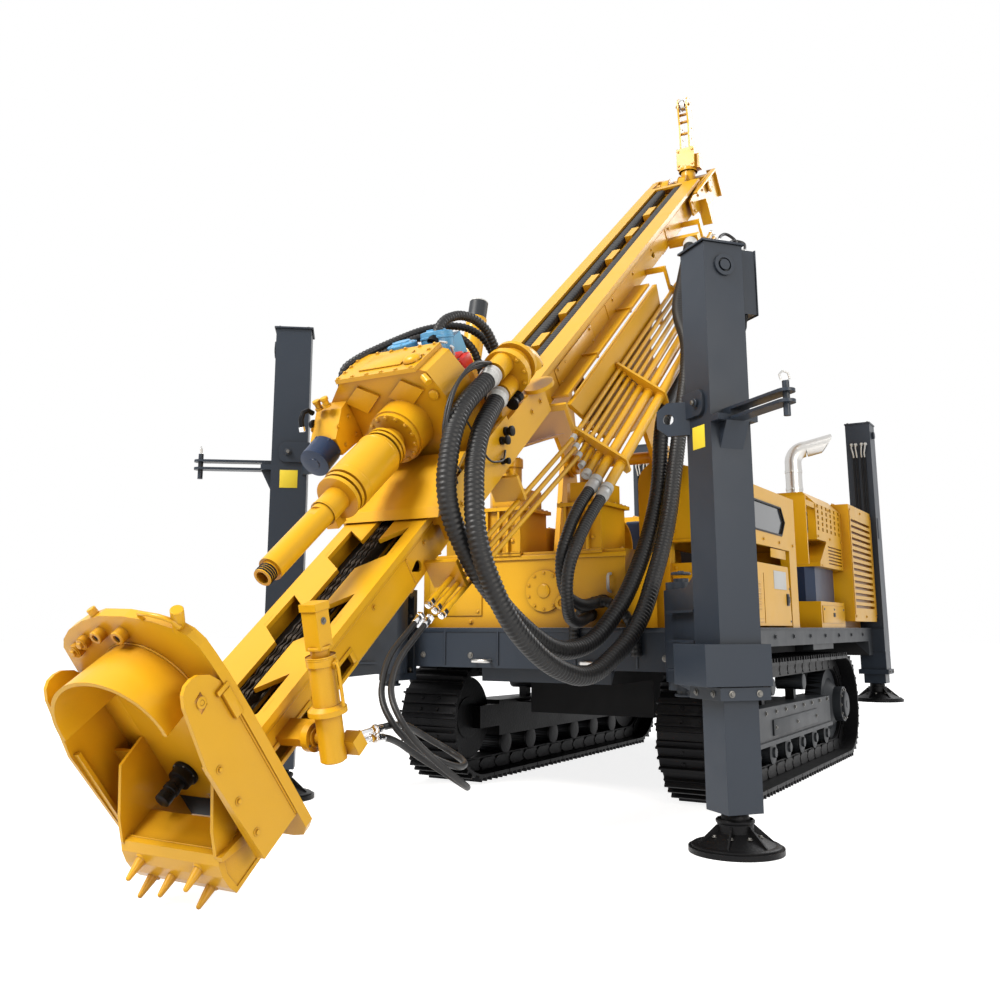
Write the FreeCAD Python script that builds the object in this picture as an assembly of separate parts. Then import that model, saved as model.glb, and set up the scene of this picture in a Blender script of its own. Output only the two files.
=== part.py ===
import FreeCAD, Part
import math
import os

# Reverse circulation drilling rig on tracks, in millimetres
# +Z up, the front of the machine faces -Y, its right side is +X
# The drawing origin lies on the ground under the front part of the deck

os.makedirs("parts", exist_ok=True)

# The drawing axes lie this far behind the middle of the footprint
ORIGIN_SHIFT_Y = -107.0

# Clearance where one piece sits on another
SEAT_GAP = 0.3
# Clearance at pins, glands, guides and hinges
RUN_GAP = 0.5
# Clearance where moving pieces pass each other
FREE_GAP = 6.0

# Driving dimensions of the tracks
GROUND_Z = 0.0
TRACK_OUTER_X = 1050.0
SHOE_WIDTH = 400.0
SHOE_COUNT = 36
IDLER_Y = -80.0
SPROCKET_Y = 2400.0
PITCH_RADIUS = 300.0
LINK_HALF_HEIGHT = 45.0
SHOE_THICKNESS = 14.0
GROUSER_HEIGHT = 24.0
GROUSER_HALF_TIP = 5.0
GROUSER_HALF_ROOT = 8.0
LINK_BAND_WIDTH = 170.0
SHOE_GAP = 10.0
IDLER_WIDTH = 120.0
FRAME_WIDTH = 250.0
FRAME_END_GAP = 290.0
ROLLER_RADIUS = 72.0
ROLLER_WIDTH = 210.0
ROLLER_COUNT = 6

# Driving dimensions of the deck
DECK_HALF_X = 1040.0
DECK_FRONT_Y = -600.0
DECK_REAR_Y = 3530.0
DECK_TOP_Z = 950.0
SIDE_BEAM_DEPTH = 112.0
SIDE_BEAM_WIDTH = 120.0
CROSS_BEAM_DEPTH = 230.0
CROSS_BEAM_WIDTH = 160.0
DECK_PLATE = 12.0
SPINE_HALF_X = 420.0
SPINE_BOTTOM_Z = 420.0

# Driving dimensions of the legs
LEG_OUTER = 210.0
LEG_WALL = 12.0
LEG_INNER_GAP = 5.0
LEG_TOP_Z = 2750.0
FRONT_LEG_X = 1330.0
FRONT_LEG_Y = -1235.0
FRONT_LEG_TURN = 39.0
FRONT_OUTER_BOTTOM_Z = 640.0
FRONT_INNER_BOTTOM_Z = 165.0
INNER_LEG_TOP_Z = 1900.0
SWING_PIVOT_X = 925.0
SWING_PIVOT_Y = -715.0
PIVOT_PIN_RADIUS = 40.0
ARM_BOTTOM_Z = 680.0
ARM_HEIGHT = 460.0
ARM_HALF_WIDTH = 90.0
REAR_LEG_TOP_Z = 2760.0
REAR_LEG_WIDTH = 210.0
REAR_OUTER_BOTTOM_Z = 560.0
REAR_PAD_Z = 330.0
PAD_RADIUS = 205.0
PAD_THICKNESS = 22.0

# Driving dimensions of the mast, in its own frame: x across, u along, n out of its face
MAST_TILT = 39.5
MAST_FACE_N = 2390.0
MAST_DEPTH = 250.0
MAST_HALF_X = 200.0
RAIL_HALF_X = 235.0
RAIL_THICKNESS = 28.0
MAST_WALL = 12.0
SLOT_HALF_X = 48.0
MAST_U0 = -2030.0
MAST_U1 = 4400.0
DRILL_AXIS_N = 2665.0
WINDOW_PITCH = 480.0
WINDOW_LENGTH = 300.0
WINDOW_HALF_X = 165.0
TABLE_THICKNESS = 40.0

# Mast hinge and its lift cylinders
TILT_Y = 550.0
TILT_Z = 2080.0
TILT_PIN_RADIUS = 40.0
CHEEK_X = 342.0
CHEEK_THICKNESS = 36.0
EAR_THICKNESS = 30.0
LIFT_X = 265.0
LIFT_BASE = (-400.0, 1150.0)
LIFT_EYE = (-400.0, 2350.0)
LIFT_BARREL_RADIUS = 60.0
LIFT_ROD_RADIUS = 35.0
LIFT_PIN_RADIUS = 30.0

# Tower and its lift columns
TOWER_TOP_Z = 1390.0
TOWER_FRONT_Y = -500.0
TOWER_LEFT_X = -850.0
TOWER_RIGHT_X = 520.0
COLUMN_HALF_X = 122.0
COLUMN_REAR_Y = -190.0
COLUMN_RING_Z = 1640.0
COLUMN_TOP_Z = 1780.0

# Rotary head, its place is along the mast
HEAD_U = 0.0
HEAD_FRONT = 600.0
HEAD_REAR = 620.0
CARRIAGE_HALF_X = 300.0
CARRIAGE_PLATE = 40.0
GEARBOX_TOP_N = 2940.0
GEARBOX_LEFT_X = -420.0
GEARBOX_RIGHT_X = 200.0
NECK_RADIUS = 138.0
STEM_RADIUS = 62.0
SWIVEL_RADIUS = 108.0
PIPE_RADIUS = 53.0

# Breakout cylinder at the foot
BREAK_X = 420.0
BREAK_PIN = (-1850.0, 2260.0)
BREAK_TOP = (-1713.0, 2546.0)
BREAK_BARREL_RADIUS = 50.0
BREAK_ROD_RADIUS = 34.0

# Body on the deck
BODY_X = 1030.0
CANOPY_INNER_X = 400.0
CANOPY_FRONT_Y = 0.0
CANOPY_REAR_Y = 1200.0
CANOPY_TOP_Z = 1950.0
CANOPY_SIDE_TOP_Z = 1830.0
CANOPY_PANEL_Z = 1450.0
CANOPY_WALL = 25.0
DOOR_TOP_Z = 1340.0
DOOR_THICKNESS = 30.0
GUARD_FRONT_Y = 1820.0
GUARD_BOTTOM_Z = 1590.0
GUARD_TOP_Z = 1945.0
RADIATOR_FRONT_Y = 2640.0
RADIATOR_HALF_X = 1095.0
RADIATOR_TOP_Z = 1930.0
ENGINE_HALF_X = 380.0
ENGINE_TOP_Z = 1560.0
EXHAUST_X = 765.0
EXHAUST_Y = 2300.0
EXHAUST_RADIUS = 64.0

V = FreeCAD.Vector
X_AXIS = V(1, 0, 0)
Y_AXIS = V(0, 1, 0)
Z_AXIS = V(0, 0, 1)
SIN_TILT = math.sin(math.radians(MAST_TILT))
COS_TILT = math.cos(math.radians(MAST_TILT))


def box(x0, x1, y0, y1, z0, z1):
    return Part.makeBox(x1 - x0, y1 - y0, z1 - z0, V(x0, y0, z0))


def pair_box(x0, x1, y0, y1, z0, z1):
    return [box(x0, x1, y0, y1, z0, z1), box(-x1, -x0, y0, y1, z0, z1)]


def rod(centre, axis, radius, length):
    return Part.makeCylinder(radius, length, V(*centre), V(*axis))


def cone(centre, axis, r0, r1, length):
    return Part.makeCone(r0, r1, length, V(*centre), V(*axis))


def tube(centre, axis, outer, inner, length):
    return rod(centre, axis, outer, length).cut(rod(centre, axis, inner, length))


def prism_x(points, x0, x1):
    wire = Part.makePolygon([V(x0, a, b) for a, b in points + points[:1]])
    return Part.Face(wire).extrude(V(x1 - x0, 0, 0))


def prism_y(points, y0, y1):
    wire = Part.makePolygon([V(a, y0, b) for a, b in points + points[:1]])
    return Part.Face(wire).extrude(V(0, y1 - y0, 0))


def prism_z(points, z0, z1):
    wire = Part.makePolygon([V(a, b, z0) for a, b in points + points[:1]])
    return Part.Face(wire).extrude(V(0, 0, z1 - z0))


def fuse(shapes):
    whole = shapes[0]
    if len(shapes) > 1:
        whole = whole.multiFuse(shapes[1:])
    return whole.removeSplitter()


def cut_all(shape, tools):
    return shape.cut(tools[0].multiFuse(tools[1:]) if len(tools) > 1 else tools[0])


def mirror_x(shape):
    return shape.mirror(V(0, 0, 0), X_AXIS)


def on_side(shape, side):
    return shape if side > 0 else mirror_x(shape)


def to_mast(shape):
    turned_shape = shape.copy()
    turned_shape.rotate(V(0, 0, 0), X_AXIS, MAST_TILT)
    return turned_shape


def to_mast_frame(y, z):
    return y * COS_TILT + z * SIN_TILT, -y * SIN_TILT + z * COS_TILT


def from_mast_frame(u, n):
    return u * COS_TILT - n * SIN_TILT, u * SIN_TILT + n * COS_TILT


def turned(shape, x, y, angle):
    out = shape.copy()
    out.rotate(V(x, y, 0), Z_AXIS, angle)
    return out


def save(name, shape):
    placed = shape.copy()
    placed.translate(V(0, ORIGIN_SHIFT_Y, 0))
    placed.exportStep("parts/" + name + ".step")


# Tracks
RIM = PITCH_RADIUS + LINK_HALF_HEIGHT
SHOE_FACE = RIM + SHOE_THICKNESS
TRACK_OUT = SHOE_FACE + GROUSER_HEIGHT
AXLE_Z = GROUND_Z + TRACK_OUT
TRACK_IN = PITCH_RADIUS - LINK_HALF_HEIGHT
TRACK_MID_X = TRACK_OUTER_X - SHOE_WIDTH / 2
FRAME_Y0 = IDLER_Y + FRAME_END_GAP
FRAME_Y1 = SPROCKET_Y - FRAME_END_GAP
FRAME_Z0 = AXLE_Z - 120.0
FRAME_Z1 = AXLE_Z + 95.0


def path_point(s):
    straight = SPROCKET_Y - IDLER_Y
    bend = math.pi * PITCH_RADIUS
    s = s % (2 * straight + 2 * bend)
    if s < straight:
        return (SPROCKET_Y - s, AXLE_Z - PITCH_RADIUS), (-1.0, 0.0)
    s -= straight
    if s < bend:
        a = s / PITCH_RADIUS
        spot = (IDLER_Y - PITCH_RADIUS * math.sin(a), AXLE_Z - PITCH_RADIUS * math.cos(a))
        return spot, (-math.cos(a), math.sin(a))
    s -= bend
    if s < straight:
        return (IDLER_Y + s, AXLE_Z + PITCH_RADIUS), (1.0, 0.0)
    s -= straight
    a = s / PITCH_RADIUS
    spot = (SPROCKET_Y + PITCH_RADIUS * math.sin(a), AXLE_Z + PITCH_RADIUS * math.cos(a))
    return spot, (math.cos(a), -math.sin(a))


def stadium(radius, x0, x1):
    top = AXLE_Z + radius
    low = AXLE_Z - radius
    front = Part.Arc(V(x0, IDLER_Y, low), V(x0, IDLER_Y - radius, AXLE_Z), V(x0, IDLER_Y, top))
    rear = Part.Arc(V(x0, SPROCKET_Y, top), V(x0, SPROCKET_Y + radius, AXLE_Z), V(x0, SPROCKET_Y, low))
    edges = [
        Part.makeLine(V(x0, SPROCKET_Y, low), V(x0, IDLER_Y, low)),
        front.toShape(),
        Part.makeLine(V(x0, IDLER_Y, top), V(x0, SPROCKET_Y, top)),
        rear.toShape(),
    ]
    return Part.Face(Part.Wire(edges)).extrude(V(x1 - x0, 0, 0))


def shoe_outline():
    length = 2 * (SPROCKET_Y - IDLER_Y) + 2 * math.pi * PITCH_RADIUS
    pitch = length / SHOE_COUNT
    half = pitch / 2 - SHOE_GAP / 2
    base = SHOE_FACE - PITCH_RADIUS
    tip = base + GROUSER_HEIGHT
    valley = RIM - PITCH_RADIUS - 4.0
    points = []
    for k in range(SHOE_COUNT):
        (y, z), (ty, tz) = path_point(k * pitch)
        ny, nz = -tz, ty
        local = [(-half, valley), (-half, base)]
        for centre in (-0.31 * pitch, 0.0, 0.31 * pitch):
            local += [(centre - GROUSER_HALF_ROOT, base), (centre - GROUSER_HALF_TIP, tip)]
            local += [(centre + GROUSER_HALF_TIP, tip), (centre + GROUSER_HALF_ROOT, base)]
        local += [(half, base), (half, valley)]
        for s, h in local:
            points.append((y + ty * s + ny * h, z + tz * s + nz * h))
    return points


def track(side):
    x0 = TRACK_OUTER_X - SHOE_WIDTH
    shoes = prism_x(shoe_outline(), x0, TRACK_OUTER_X)
    shoes = shoes.cut(stadium(RIM - 6.0, x0 - 1, TRACK_OUTER_X + 1))
    band = stadium(RIM, TRACK_MID_X - LINK_BAND_WIDTH / 2, TRACK_MID_X + LINK_BAND_WIDTH / 2)
    band = band.cut(stadium(TRACK_IN, x0 - 1, TRACK_OUTER_X + 1))
    return on_side(fuse([shoes, band]), side)


def track_wheels(side):
    radius = TRACK_IN
    x0 = TRACK_MID_X - IDLER_WIDTH / 2
    hub_x = TRACK_MID_X - IDLER_WIDTH / 2 - 5 + SEAT_GAP
    cap_x = TRACK_MID_X + SHOE_WIDTH / 2 - 30.0
    parts = []
    for y in (IDLER_Y, SPROCKET_Y):
        wheel = rod((x0, y, AXLE_Z), (1, 0, 0), radius, IDLER_WIDTH)
        dish = cone((x0 + IDLER_WIDTH, y, AXLE_Z), (1, 0, 0), radius * 0.75, radius * 0.5, 50.0)
        hub = rod((hub_x, y, AXLE_Z), (1, 0, 0), radius * 0.5, cap_x - hub_x)
        cap = rod((cap_x, y, AXLE_Z), (1, 0, 0), radius * 0.36, 15.0)
        parts.append(fuse([wheel, dish, hub, cap]))
    return on_side(Part.makeCompound(parts), side)


def track_frame(side):
    x0 = TRACK_MID_X - FRAME_WIDTH / 2
    x1 = TRACK_OUTER_X - 70.0
    inner = TRACK_MID_X - IDLER_WIDTH / 2 - 5
    body = prism_x(
        [(FRAME_Y0, FRAME_Z0), (FRAME_Y1, FRAME_Z0), (FRAME_Y1, FRAME_Z1 - 20), (FRAME_Y0, FRAME_Z1)],
        x0, x1)
    parts = [body]
    for y0, y1 in ((IDLER_Y + 50, FRAME_Y0 + 40), (FRAME_Y1 - 40, SPROCKET_Y - 50)):
        parts.append(box(x0, inner, y0, y1, AXLE_Z - 70, AXLE_Z + 70))
    parts.append(box(x0, x1 + 14, FRAME_Y0, FRAME_Y1, FRAME_Z0 - 12, FRAME_Z0 + 14))
    low = AXLE_Z - TRACK_IN
    step = (FRAME_Y1 - FRAME_Y0 - 200) / (ROLLER_COUNT - 1)
    for k in range(ROLLER_COUNT):
        y = FRAME_Y0 + 100 + k * step
        parts.append(rod((TRACK_MID_X - ROLLER_WIDTH / 2, y, low + ROLLER_RADIUS), (1, 0, 0), ROLLER_RADIUS, ROLLER_WIDTH))
    span = FRAME_Y1 - FRAME_Y0
    for share in (0.2, 0.78):
        y = FRAME_Y0 + share * span
        parts.append(box(SPINE_HALF_X + SEAT_GAP, x0 + 20, y - 120, y + 120, SPINE_BOTTOM_Z + 30, FRAME_Z1 - 20))
    for share in (0.3, 0.7):
        y = FRAME_Y0 + share * span
        parts.append(rod((TRACK_MID_X - 90, y, AXLE_Z + TRACK_IN - 55), (1, 0, 0), 55.0, 180.0))
        parts.append(box(TRACK_MID_X - 30, TRACK_MID_X + 30, y - 30, y + 30, FRAME_Z1 - 40, AXLE_Z + TRACK_IN - 60))
    return on_side(fuse(parts), side)


# Chassis and the swing pivots
def chassis():
    top = DECK_TOP_Z
    low = top - CROSS_BEAM_DEPTH
    y0, y1 = DECK_FRONT_Y, DECK_REAR_Y
    parts = [box(-DECK_HALF_X, DECK_HALF_X, y0, y1, top - DECK_PLATE, top)]
    parts += pair_box(DECK_HALF_X - SIDE_BEAM_WIDTH, DECK_HALF_X, y0, y1, top - SIDE_BEAM_DEPTH, top)
    parts.append(box(-DECK_HALF_X, DECK_HALF_X, y0, y0 + CROSS_BEAM_WIDTH, low, top))
    parts.append(box(-DECK_HALF_X, DECK_HALF_X, y1 - CROSS_BEAM_WIDTH, y1, low, top))
    parts.append(box(-SPINE_HALF_X, SPINE_HALF_X, y0 + 100, y1 - 100, low - 80, top - 5))
    parts.append(box(-SPINE_HALF_X, SPINE_HALF_X, IDLER_Y + 180, SPROCKET_Y - 220, SPINE_BOTTOM_Z, low))
    middle = (y0 + y1) / 2 + 400
    parts += pair_box(DECK_HALF_X - 90, DECK_HALF_X - 20, middle - 300, middle + 300,
                      top - SIDE_BEAM_DEPTH - 40, top - SIDE_BEAM_DEPTH + 5)
    for share in (0.28, 0.5, 0.72):
        y = y0 + share * (y1 - y0)
        parts.append(box(-DECK_HALF_X + 20, DECK_HALF_X - 20, y - 30, y + 30, top - SIDE_BEAM_DEPTH, top - 5))
    return fuse(parts + pivot_brackets())


def pivot_brackets():
    y = SWING_PIVOT_Y
    wall = DECK_FRONT_Y + 2
    low = ARM_BOTTOM_Z - 40
    high = ARM_BOTTOM_Z + ARM_HEIGHT
    parts = []
    for s in (-1, 1):
        x = s * SWING_PIVOT_X
        parts.append(rod((x, y, low - 20), (0, 0, 1), PIVOT_PIN_RADIUS, high - low + 80))
        for z0 in (low, high):
            ear = fuse([box(x - 80, x + 80, y, wall, z0, z0 + 40), rod((x, y, z0), (0, 0, 1), 80.0, 40.0)])
            parts.append(ear)
        parts.append(box(x - 80, x + 80, wall - 12, wall + 20, low, high + 40))
    return parts


# Rear legs
REAR_LEG_X = DECK_HALF_X - 5
REAR_LEG_Y = DECK_REAR_Y + 10 + REAR_LEG_WIDTH / 2


def square(x, y, half, z0, z1):
    return box(x - half, x + half, y - half, y + half, z0, z1)


def guide_rings(x, y, half, places):
    rings = []
    inside = half - LEG_WALL - LEG_INNER_GAP + RUN_GAP
    for z in places:
        rings.append(square(x, y, half - LEG_WALL + 1, z, z + 90).cut(square(x, y, inside, z - 1, z + 91)))
    return rings


def rear_leg_tubes():
    half = REAR_LEG_WIDTH / 2
    x, y = REAR_LEG_X, REAR_LEG_Y
    low, high = REAR_OUTER_BOTTOM_Z, REAR_LEG_TOP_Z
    leg = fuse([
        square(x, y, half, low, high),
        square(x, y, half + 18, low, low + 40),
        box(x - half, x + half, DECK_REAR_Y + SEAT_GAP, y - half + 5, DECK_TOP_Z - 200, DECK_TOP_Z - 10),
        box(x - half + 20, x + half - 20, y - half - 12, y - half + 5, DECK_TOP_Z + 10, DECK_TOP_Z + 60),
        rod((x + half - 5, y, high - 110), (1, 0, 0), 32.0, 17.0),
        square(x, y, half + 5, high - 14, high),
    ])
    leg = leg.cut(square(x, y, half - LEG_WALL, low - 1, high - 15))
    leg = fuse([leg] + guide_rings(x, y, half, (low + 10, low + 700)))
    return Part.makeCompound([leg, mirror_x(leg)])


def pad(x, y, z):
    plate = rod((x, y, z), (0, 0, 1), PAD_RADIUS, PAD_THICKNESS)
    dish = cone((x, y, z + PAD_THICKNESS), (0, 0, 1), PAD_RADIUS - 15, 80.0, 60.0)
    cup = rod((x, y, z + PAD_THICKNESS), (0, 0, 1), 78.0, 100.0)
    ball = Part.makeSphere(62.0, V(x, y, z + PAD_THICKNESS + 110))
    return [plate, dish, cup, ball]


def rear_inner(side):
    x, y = REAR_LEG_X, REAR_LEG_Y
    half = REAR_LEG_WIDTH / 2 - LEG_WALL - LEG_INNER_GAP
    foot = REAR_PAD_Z + PAD_THICKNESS + 130
    column = square(x, y, half, foot, INNER_LEG_TOP_Z)
    return on_side(fuse([column] + pad(x, y, REAR_PAD_Z)), side)


# Front legs on their swing arms
def swing_leg(side):
    half = LEG_OUTER / 2
    x, y = FRONT_LEG_X, FRONT_LEG_Y
    low, high = FRONT_OUTER_BOTTOM_Z, LEG_TOP_Z
    latch = high - 850
    parts = [
        square(x, y, half, low, high),
        square(x, y, half + 22, low, low + 55),
        square(x, y, half + 6, high - 12, high),
        tube((x + half - 5, y, high - 120), (1, 0, 0), 52.0, 34.0, 17.0),
        rod((x + half - 5, y, high - 120), (1, 0, 0), 26.0, 20.0),
        box(x - 60, x + 60, y + half - 5, y + half + 100, high - 330, high - 10),
    ]
    tray = box(x - half - 30, x + half + 30, y - half - 95, y + half + 30, low + 60, low + 240)
    tray = tray.cut(box(x - half - 18, x + half + 18, y - half - 83, y + half + 18, low + 72, low + 260))
    parts.append(tray)
    bars = [
        box(x + half - 5, x + half + 60, y - half, y + half, latch - 30, latch),
        prism_y([(x + half - 5, latch - 30), (x + half + 60, latch - 30), (x + half - 5, latch - 160)], y - 60, y + 60),
    ]
    reach_x = x + half + 420
    for z0 in (latch - 26, latch + 20):
        bars.append(box(x + half + 40, reach_x, y - 38, y + 38, z0, z0 + 14))
        bars.append(rod((reach_x, y, z0), (0, 0, 1), 38.0, 14.0))
    bars.append(rod((reach_x, y, latch - 80), (0, 0, 1), 15.0, 150.0))
    bars.append(box(x + half - 5, x + half + 60, y - 38, y + 38, latch - 26, latch + 34))
    lug = prism_y([(x - half + 30, latch - 60), (x - half - 130, latch - 60), (x - half - 180, latch - 20),
                   (x - half - 180, latch + 60), (x - half - 130, latch + 100), (x - half + 30, latch + 100)], y - 10, y + 10)
    lug = turned(lug.cut(rod((x - half - 125, y - 20, latch + 20), (0, 1, 0), 25.0, 40.0)), x, y, 50.0)
    leg = fuse(parts + bars + [lug])
    hollow = square(x, y, half - LEG_WALL, low - 1, high - 15)
    leg = fuse([leg.cut(hollow)] + guide_rings(x, y, half, (low + 10, low + 800)))
    leg = turned(leg, x, y, -FRONT_LEG_TURN)
    hollow = turned(hollow, x, y, -FRONT_LEG_TURN)
    px, py = SWING_PIVOT_X, SWING_PIVOT_Y
    dx, dy = x - px, y - py
    reach = math.hypot(dx, dy)
    angle = math.degrees(math.atan2(dy, dx))
    z0 = ARM_BOTTOM_Z + RUN_GAP
    z1 = ARM_BOTTOM_Z + ARM_HEIGHT - RUN_GAP
    root = reach - half + 8
    side_view = [(px, z0), (px, z1), (px + root - 200, z1), (px + root, z1 + 90), (px + root, z0 - 38), (px + 130, z0)]
    outline = [(a, b) for a, b in side_view]
    wire = Part.makePolygon([V(a, py - ARM_HALF_WIDTH, b) for a, b in outline + outline[:1]])
    arm = Part.Face(wire).extrude(V(0, 2 * ARM_HALF_WIDTH, 0))
    for z in (z0 + 60, z0 + 200, z0 + 340):
        arm = arm.fuse(box(px + 130, px + root, py - ARM_HALF_WIDTH - 35, py + ARM_HALF_WIDTH + 35, z, z + 12))
    boss = rod((px, py, z0), (0, 0, 1), ARM_HALF_WIDTH, z1 - z0)
    arm = turned(arm.fuse(boss), px, py, angle)
    bore = rod((px, py, z0 - 100), (0, 0, 1), PIVOT_PIN_RADIUS + RUN_GAP, ARM_HEIGHT + 200)
    whole = fuse([leg, arm]).cut(bore)
    whole = whole.cut(turned(square(x, y, half - LEG_WALL - LEG_INNER_GAP + RUN_GAP, low - 1, high - 15), x, y, -FRONT_LEG_TURN))
    return on_side(whole, side)


def front_inner(side):
    x, y = FRONT_LEG_X, FRONT_LEG_Y
    half = LEG_OUTER / 2 - LEG_WALL - LEG_INNER_GAP
    column = turned(square(x, y, half, FRONT_INNER_BOTTOM_Z, INNER_LEG_TOP_Z), x, y, -FRONT_LEG_TURN)
    return on_side(fuse([column] + pad(x, y, GROUND_Z)), side)


# Tower with the mast hinge and the columns of the lift cylinders
def octagon(x, y, half_x, y0, y1, chamfer, z0, z1):
    points = [(x - half_x + chamfer, y0), (x + half_x - chamfer, y0), (x + half_x, y0 + chamfer),
              (x + half_x, y1 - chamfer), (x + half_x - chamfer, y1), (x - half_x + chamfer, y1),
              (x - half_x, y1 - chamfer), (x - half_x, y0 + chamfer)]
    return prism_z(points, z0, z1)


def tower():
    base_z = DECK_TOP_Z + SEAT_GAP
    front = TOWER_FRONT_Y
    hinge_y = TILT_Y
    parts = [
        box(TOWER_LEFT_X, TOWER_RIGHT_X, front, CANOPY_FRONT_Y - 50, base_z, TOWER_TOP_Z),
        box(-CHEEK_X - CHEEK_THICKNESS, CHEEK_X + CHEEK_THICKNESS, CANOPY_FRONT_Y - 60, hinge_y + 230, base_z, TOWER_TOP_Z - 120),
    ]
    outline = [(hinge_y - 230, TOWER_TOP_Z - 130), (hinge_y + 230, TOWER_TOP_Z - 130), (hinge_y + 90, TILT_Z),
               (hinge_y + 55, TILT_Z + 75), (hinge_y - 55, TILT_Z + 75), (hinge_y - 90, TILT_Z)]
    for x0 in (-CHEEK_X - CHEEK_THICKNESS, CHEEK_X):
        parts.append(prism_x(outline, x0, x0 + CHEEK_THICKNESS))
    pin_half = CHEEK_X + CHEEK_THICKNESS + 8
    parts.append(rod((-pin_half, hinge_y, TILT_Z), (1, 0, 0), TILT_PIN_RADIUS, 2 * pin_half))
    wells = []
    pins = []
    for s in (-1, 1):
        x = s * LIFT_X
        parts.append(box(x - COLUMN_HALF_X, x + COLUMN_HALF_X, front - 20, COLUMN_REAR_Y, TOWER_TOP_Z - 20, COLUMN_RING_Z))
        parts.append(box(x - COLUMN_HALF_X - 25, x + COLUMN_HALF_X + 25, front - 45, COLUMN_REAR_Y + 20, COLUMN_RING_Z, COLUMN_RING_Z + 22))
        parts.append(octagon(x, 0, COLUMN_HALF_X - 8, front - 15, COLUMN_REAR_Y - 5, 40, COLUMN_RING_Z + 20, COLUMN_TOP_Z))
        for dx in (-COLUMN_HALF_X + 15, -25, 35):
            parts.append(box(x + dx, x + dx + 16, front - 42, front - 10, TOWER_TOP_Z, COLUMN_RING_Z + 5))
        wells.append(box(x - COLUMN_HALF_X + 22, x + COLUMN_HALF_X - 22, front + 20, COLUMN_REAR_Y - 20, LIFT_BASE[1] - 90, COLUMN_TOP_Z + 10))
        pins.append(rod((x - COLUMN_HALF_X + 10, LIFT_BASE[0], LIFT_BASE[1]), (1, 0, 0), LIFT_PIN_RADIUS, 2 * COLUMN_HALF_X - 20))
    parts.append(rod((10, front - 14, 1160), (0, 1, 0), 120.0, 20.0))
    parts.append(rod((140, front - 40, 1090), (0, 1, 0), 30.0, 45.0))
    cover = tube((COLUMN_HALF_X + LIFT_X - 190, -180, TOWER_TOP_Z + 40), (1, 0, 0), 150.0, 138.0, 170.0)
    cover = cover.common(box(0, 600, -180, 0, TOWER_TOP_Z - 30, TOWER_TOP_Z + 200))
    parts.append(cover)
    return fuse([cut_all(fuse(parts), wells)] + pins)


def lift_line():
    dy, dz = LIFT_EYE[0] - LIFT_BASE[0], LIFT_EYE[1] - LIFT_BASE[1]
    length = math.hypot(dy, dz)
    return dy / length, dz / length, length


LIFT_BARREL_TOP = 820.0


def lift_barrel(side):
    dy, dz, length = lift_line()
    x = LIFT_X
    y0, z0 = LIFT_BASE
    axis = (0, dy, dz)
    eye = rod((x - 50, y0, z0), (1, 0, 0), 58.0, 100.0)
    barrel = rod((x, y0 + dy * 40, z0 + dz * 40), axis, LIFT_BARREL_RADIUS, LIFT_BARREL_TOP - 40)
    ring = rod((x, y0 + dy * (LIFT_BARREL_TOP - 50), z0 + dz * (LIFT_BARREL_TOP - 50)), axis, LIFT_BARREL_RADIUS + 8, 50.0)
    bore = rod((x, y0 + dy * 110, z0 + dz * 110), axis, LIFT_ROD_RADIUS + 8, LIFT_BARREL_TOP - 170)
    gland = rod((x, y0 + dy * 200, z0 + dz * 200), axis, LIFT_ROD_RADIUS + RUN_GAP, LIFT_BARREL_TOP)
    hole = rod((x - 60, y0, z0), (1, 0, 0), LIFT_PIN_RADIUS + RUN_GAP, 120.0)
    return on_side(cut_all(fuse([eye, barrel, ring]), [bore, gland, hole]), side)


def lift_rod(side):
    dy, dz, length = lift_line()
    x = LIFT_X
    y0, z0 = LIFT_BASE
    start = 150.0
    shaft = rod((x, y0 + dy * start, z0 + dz * start), (0, dy, dz), LIFT_ROD_RADIUS, length - start - 30)
    eye = rod((x - 32, LIFT_EYE[0], LIFT_EYE[1]), (1, 0, 0), 52.0, 64.0)
    hole = rod((x - 50, LIFT_EYE[0], LIFT_EYE[1]), (1, 0, 0), LIFT_PIN_RADIUS, 100.0)
    return on_side(fuse([shaft, eye]).cut(hole), side)


# Mast
MAST_LOW_N = MAST_FACE_N - MAST_DEPTH


def mast_profile():
    rail_low = MAST_FACE_N - RAIL_THICKNESS
    half = [(RAIL_HALF_X, MAST_FACE_N), (RAIL_HALF_X, rail_low), (MAST_HALF_X + 6, rail_low),
            (MAST_HALF_X + 6, rail_low - 32), (MAST_HALF_X, rail_low - 40), (MAST_HALF_X, MAST_LOW_N + 45),
            (MAST_HALF_X - 50, MAST_LOW_N)]
    return half + [(-x, n) for x, n in reversed(half)]


def mast_hollow():
    high = MAST_FACE_N - 20
    x = MAST_HALF_X - MAST_WALL
    low = MAST_LOW_N + MAST_WALL
    outline = [(x, high), (x, low + 40), (x - 46, low), (-x + 46, low), (-x, low + 40), (-x, high)]
    return prism_y(outline, MAST_U0 + 20, MAST_U1 - 20)


def face_windows():
    cuts = []
    u = MAST_U0 + 60
    inner, outer = SLOT_HALF_X - 1, WINDOW_HALF_X
    while u + WINDOW_LENGTH < BAND_U0:
        right = [(inner, u), (outer, u + 90), (outer, u + WINDOW_LENGTH), (inner, u + WINDOW_LENGTH - 90)]
        for s in (-1, 1):
            wire = Part.makePolygon([V(s * x, v, MAST_FACE_N - 40) for x, v in right + right[:1]])
            cuts.append(Part.Face(wire).extrude(V(0, 0, 60)))
        u += WINDOW_PITCH
    return cuts


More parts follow.
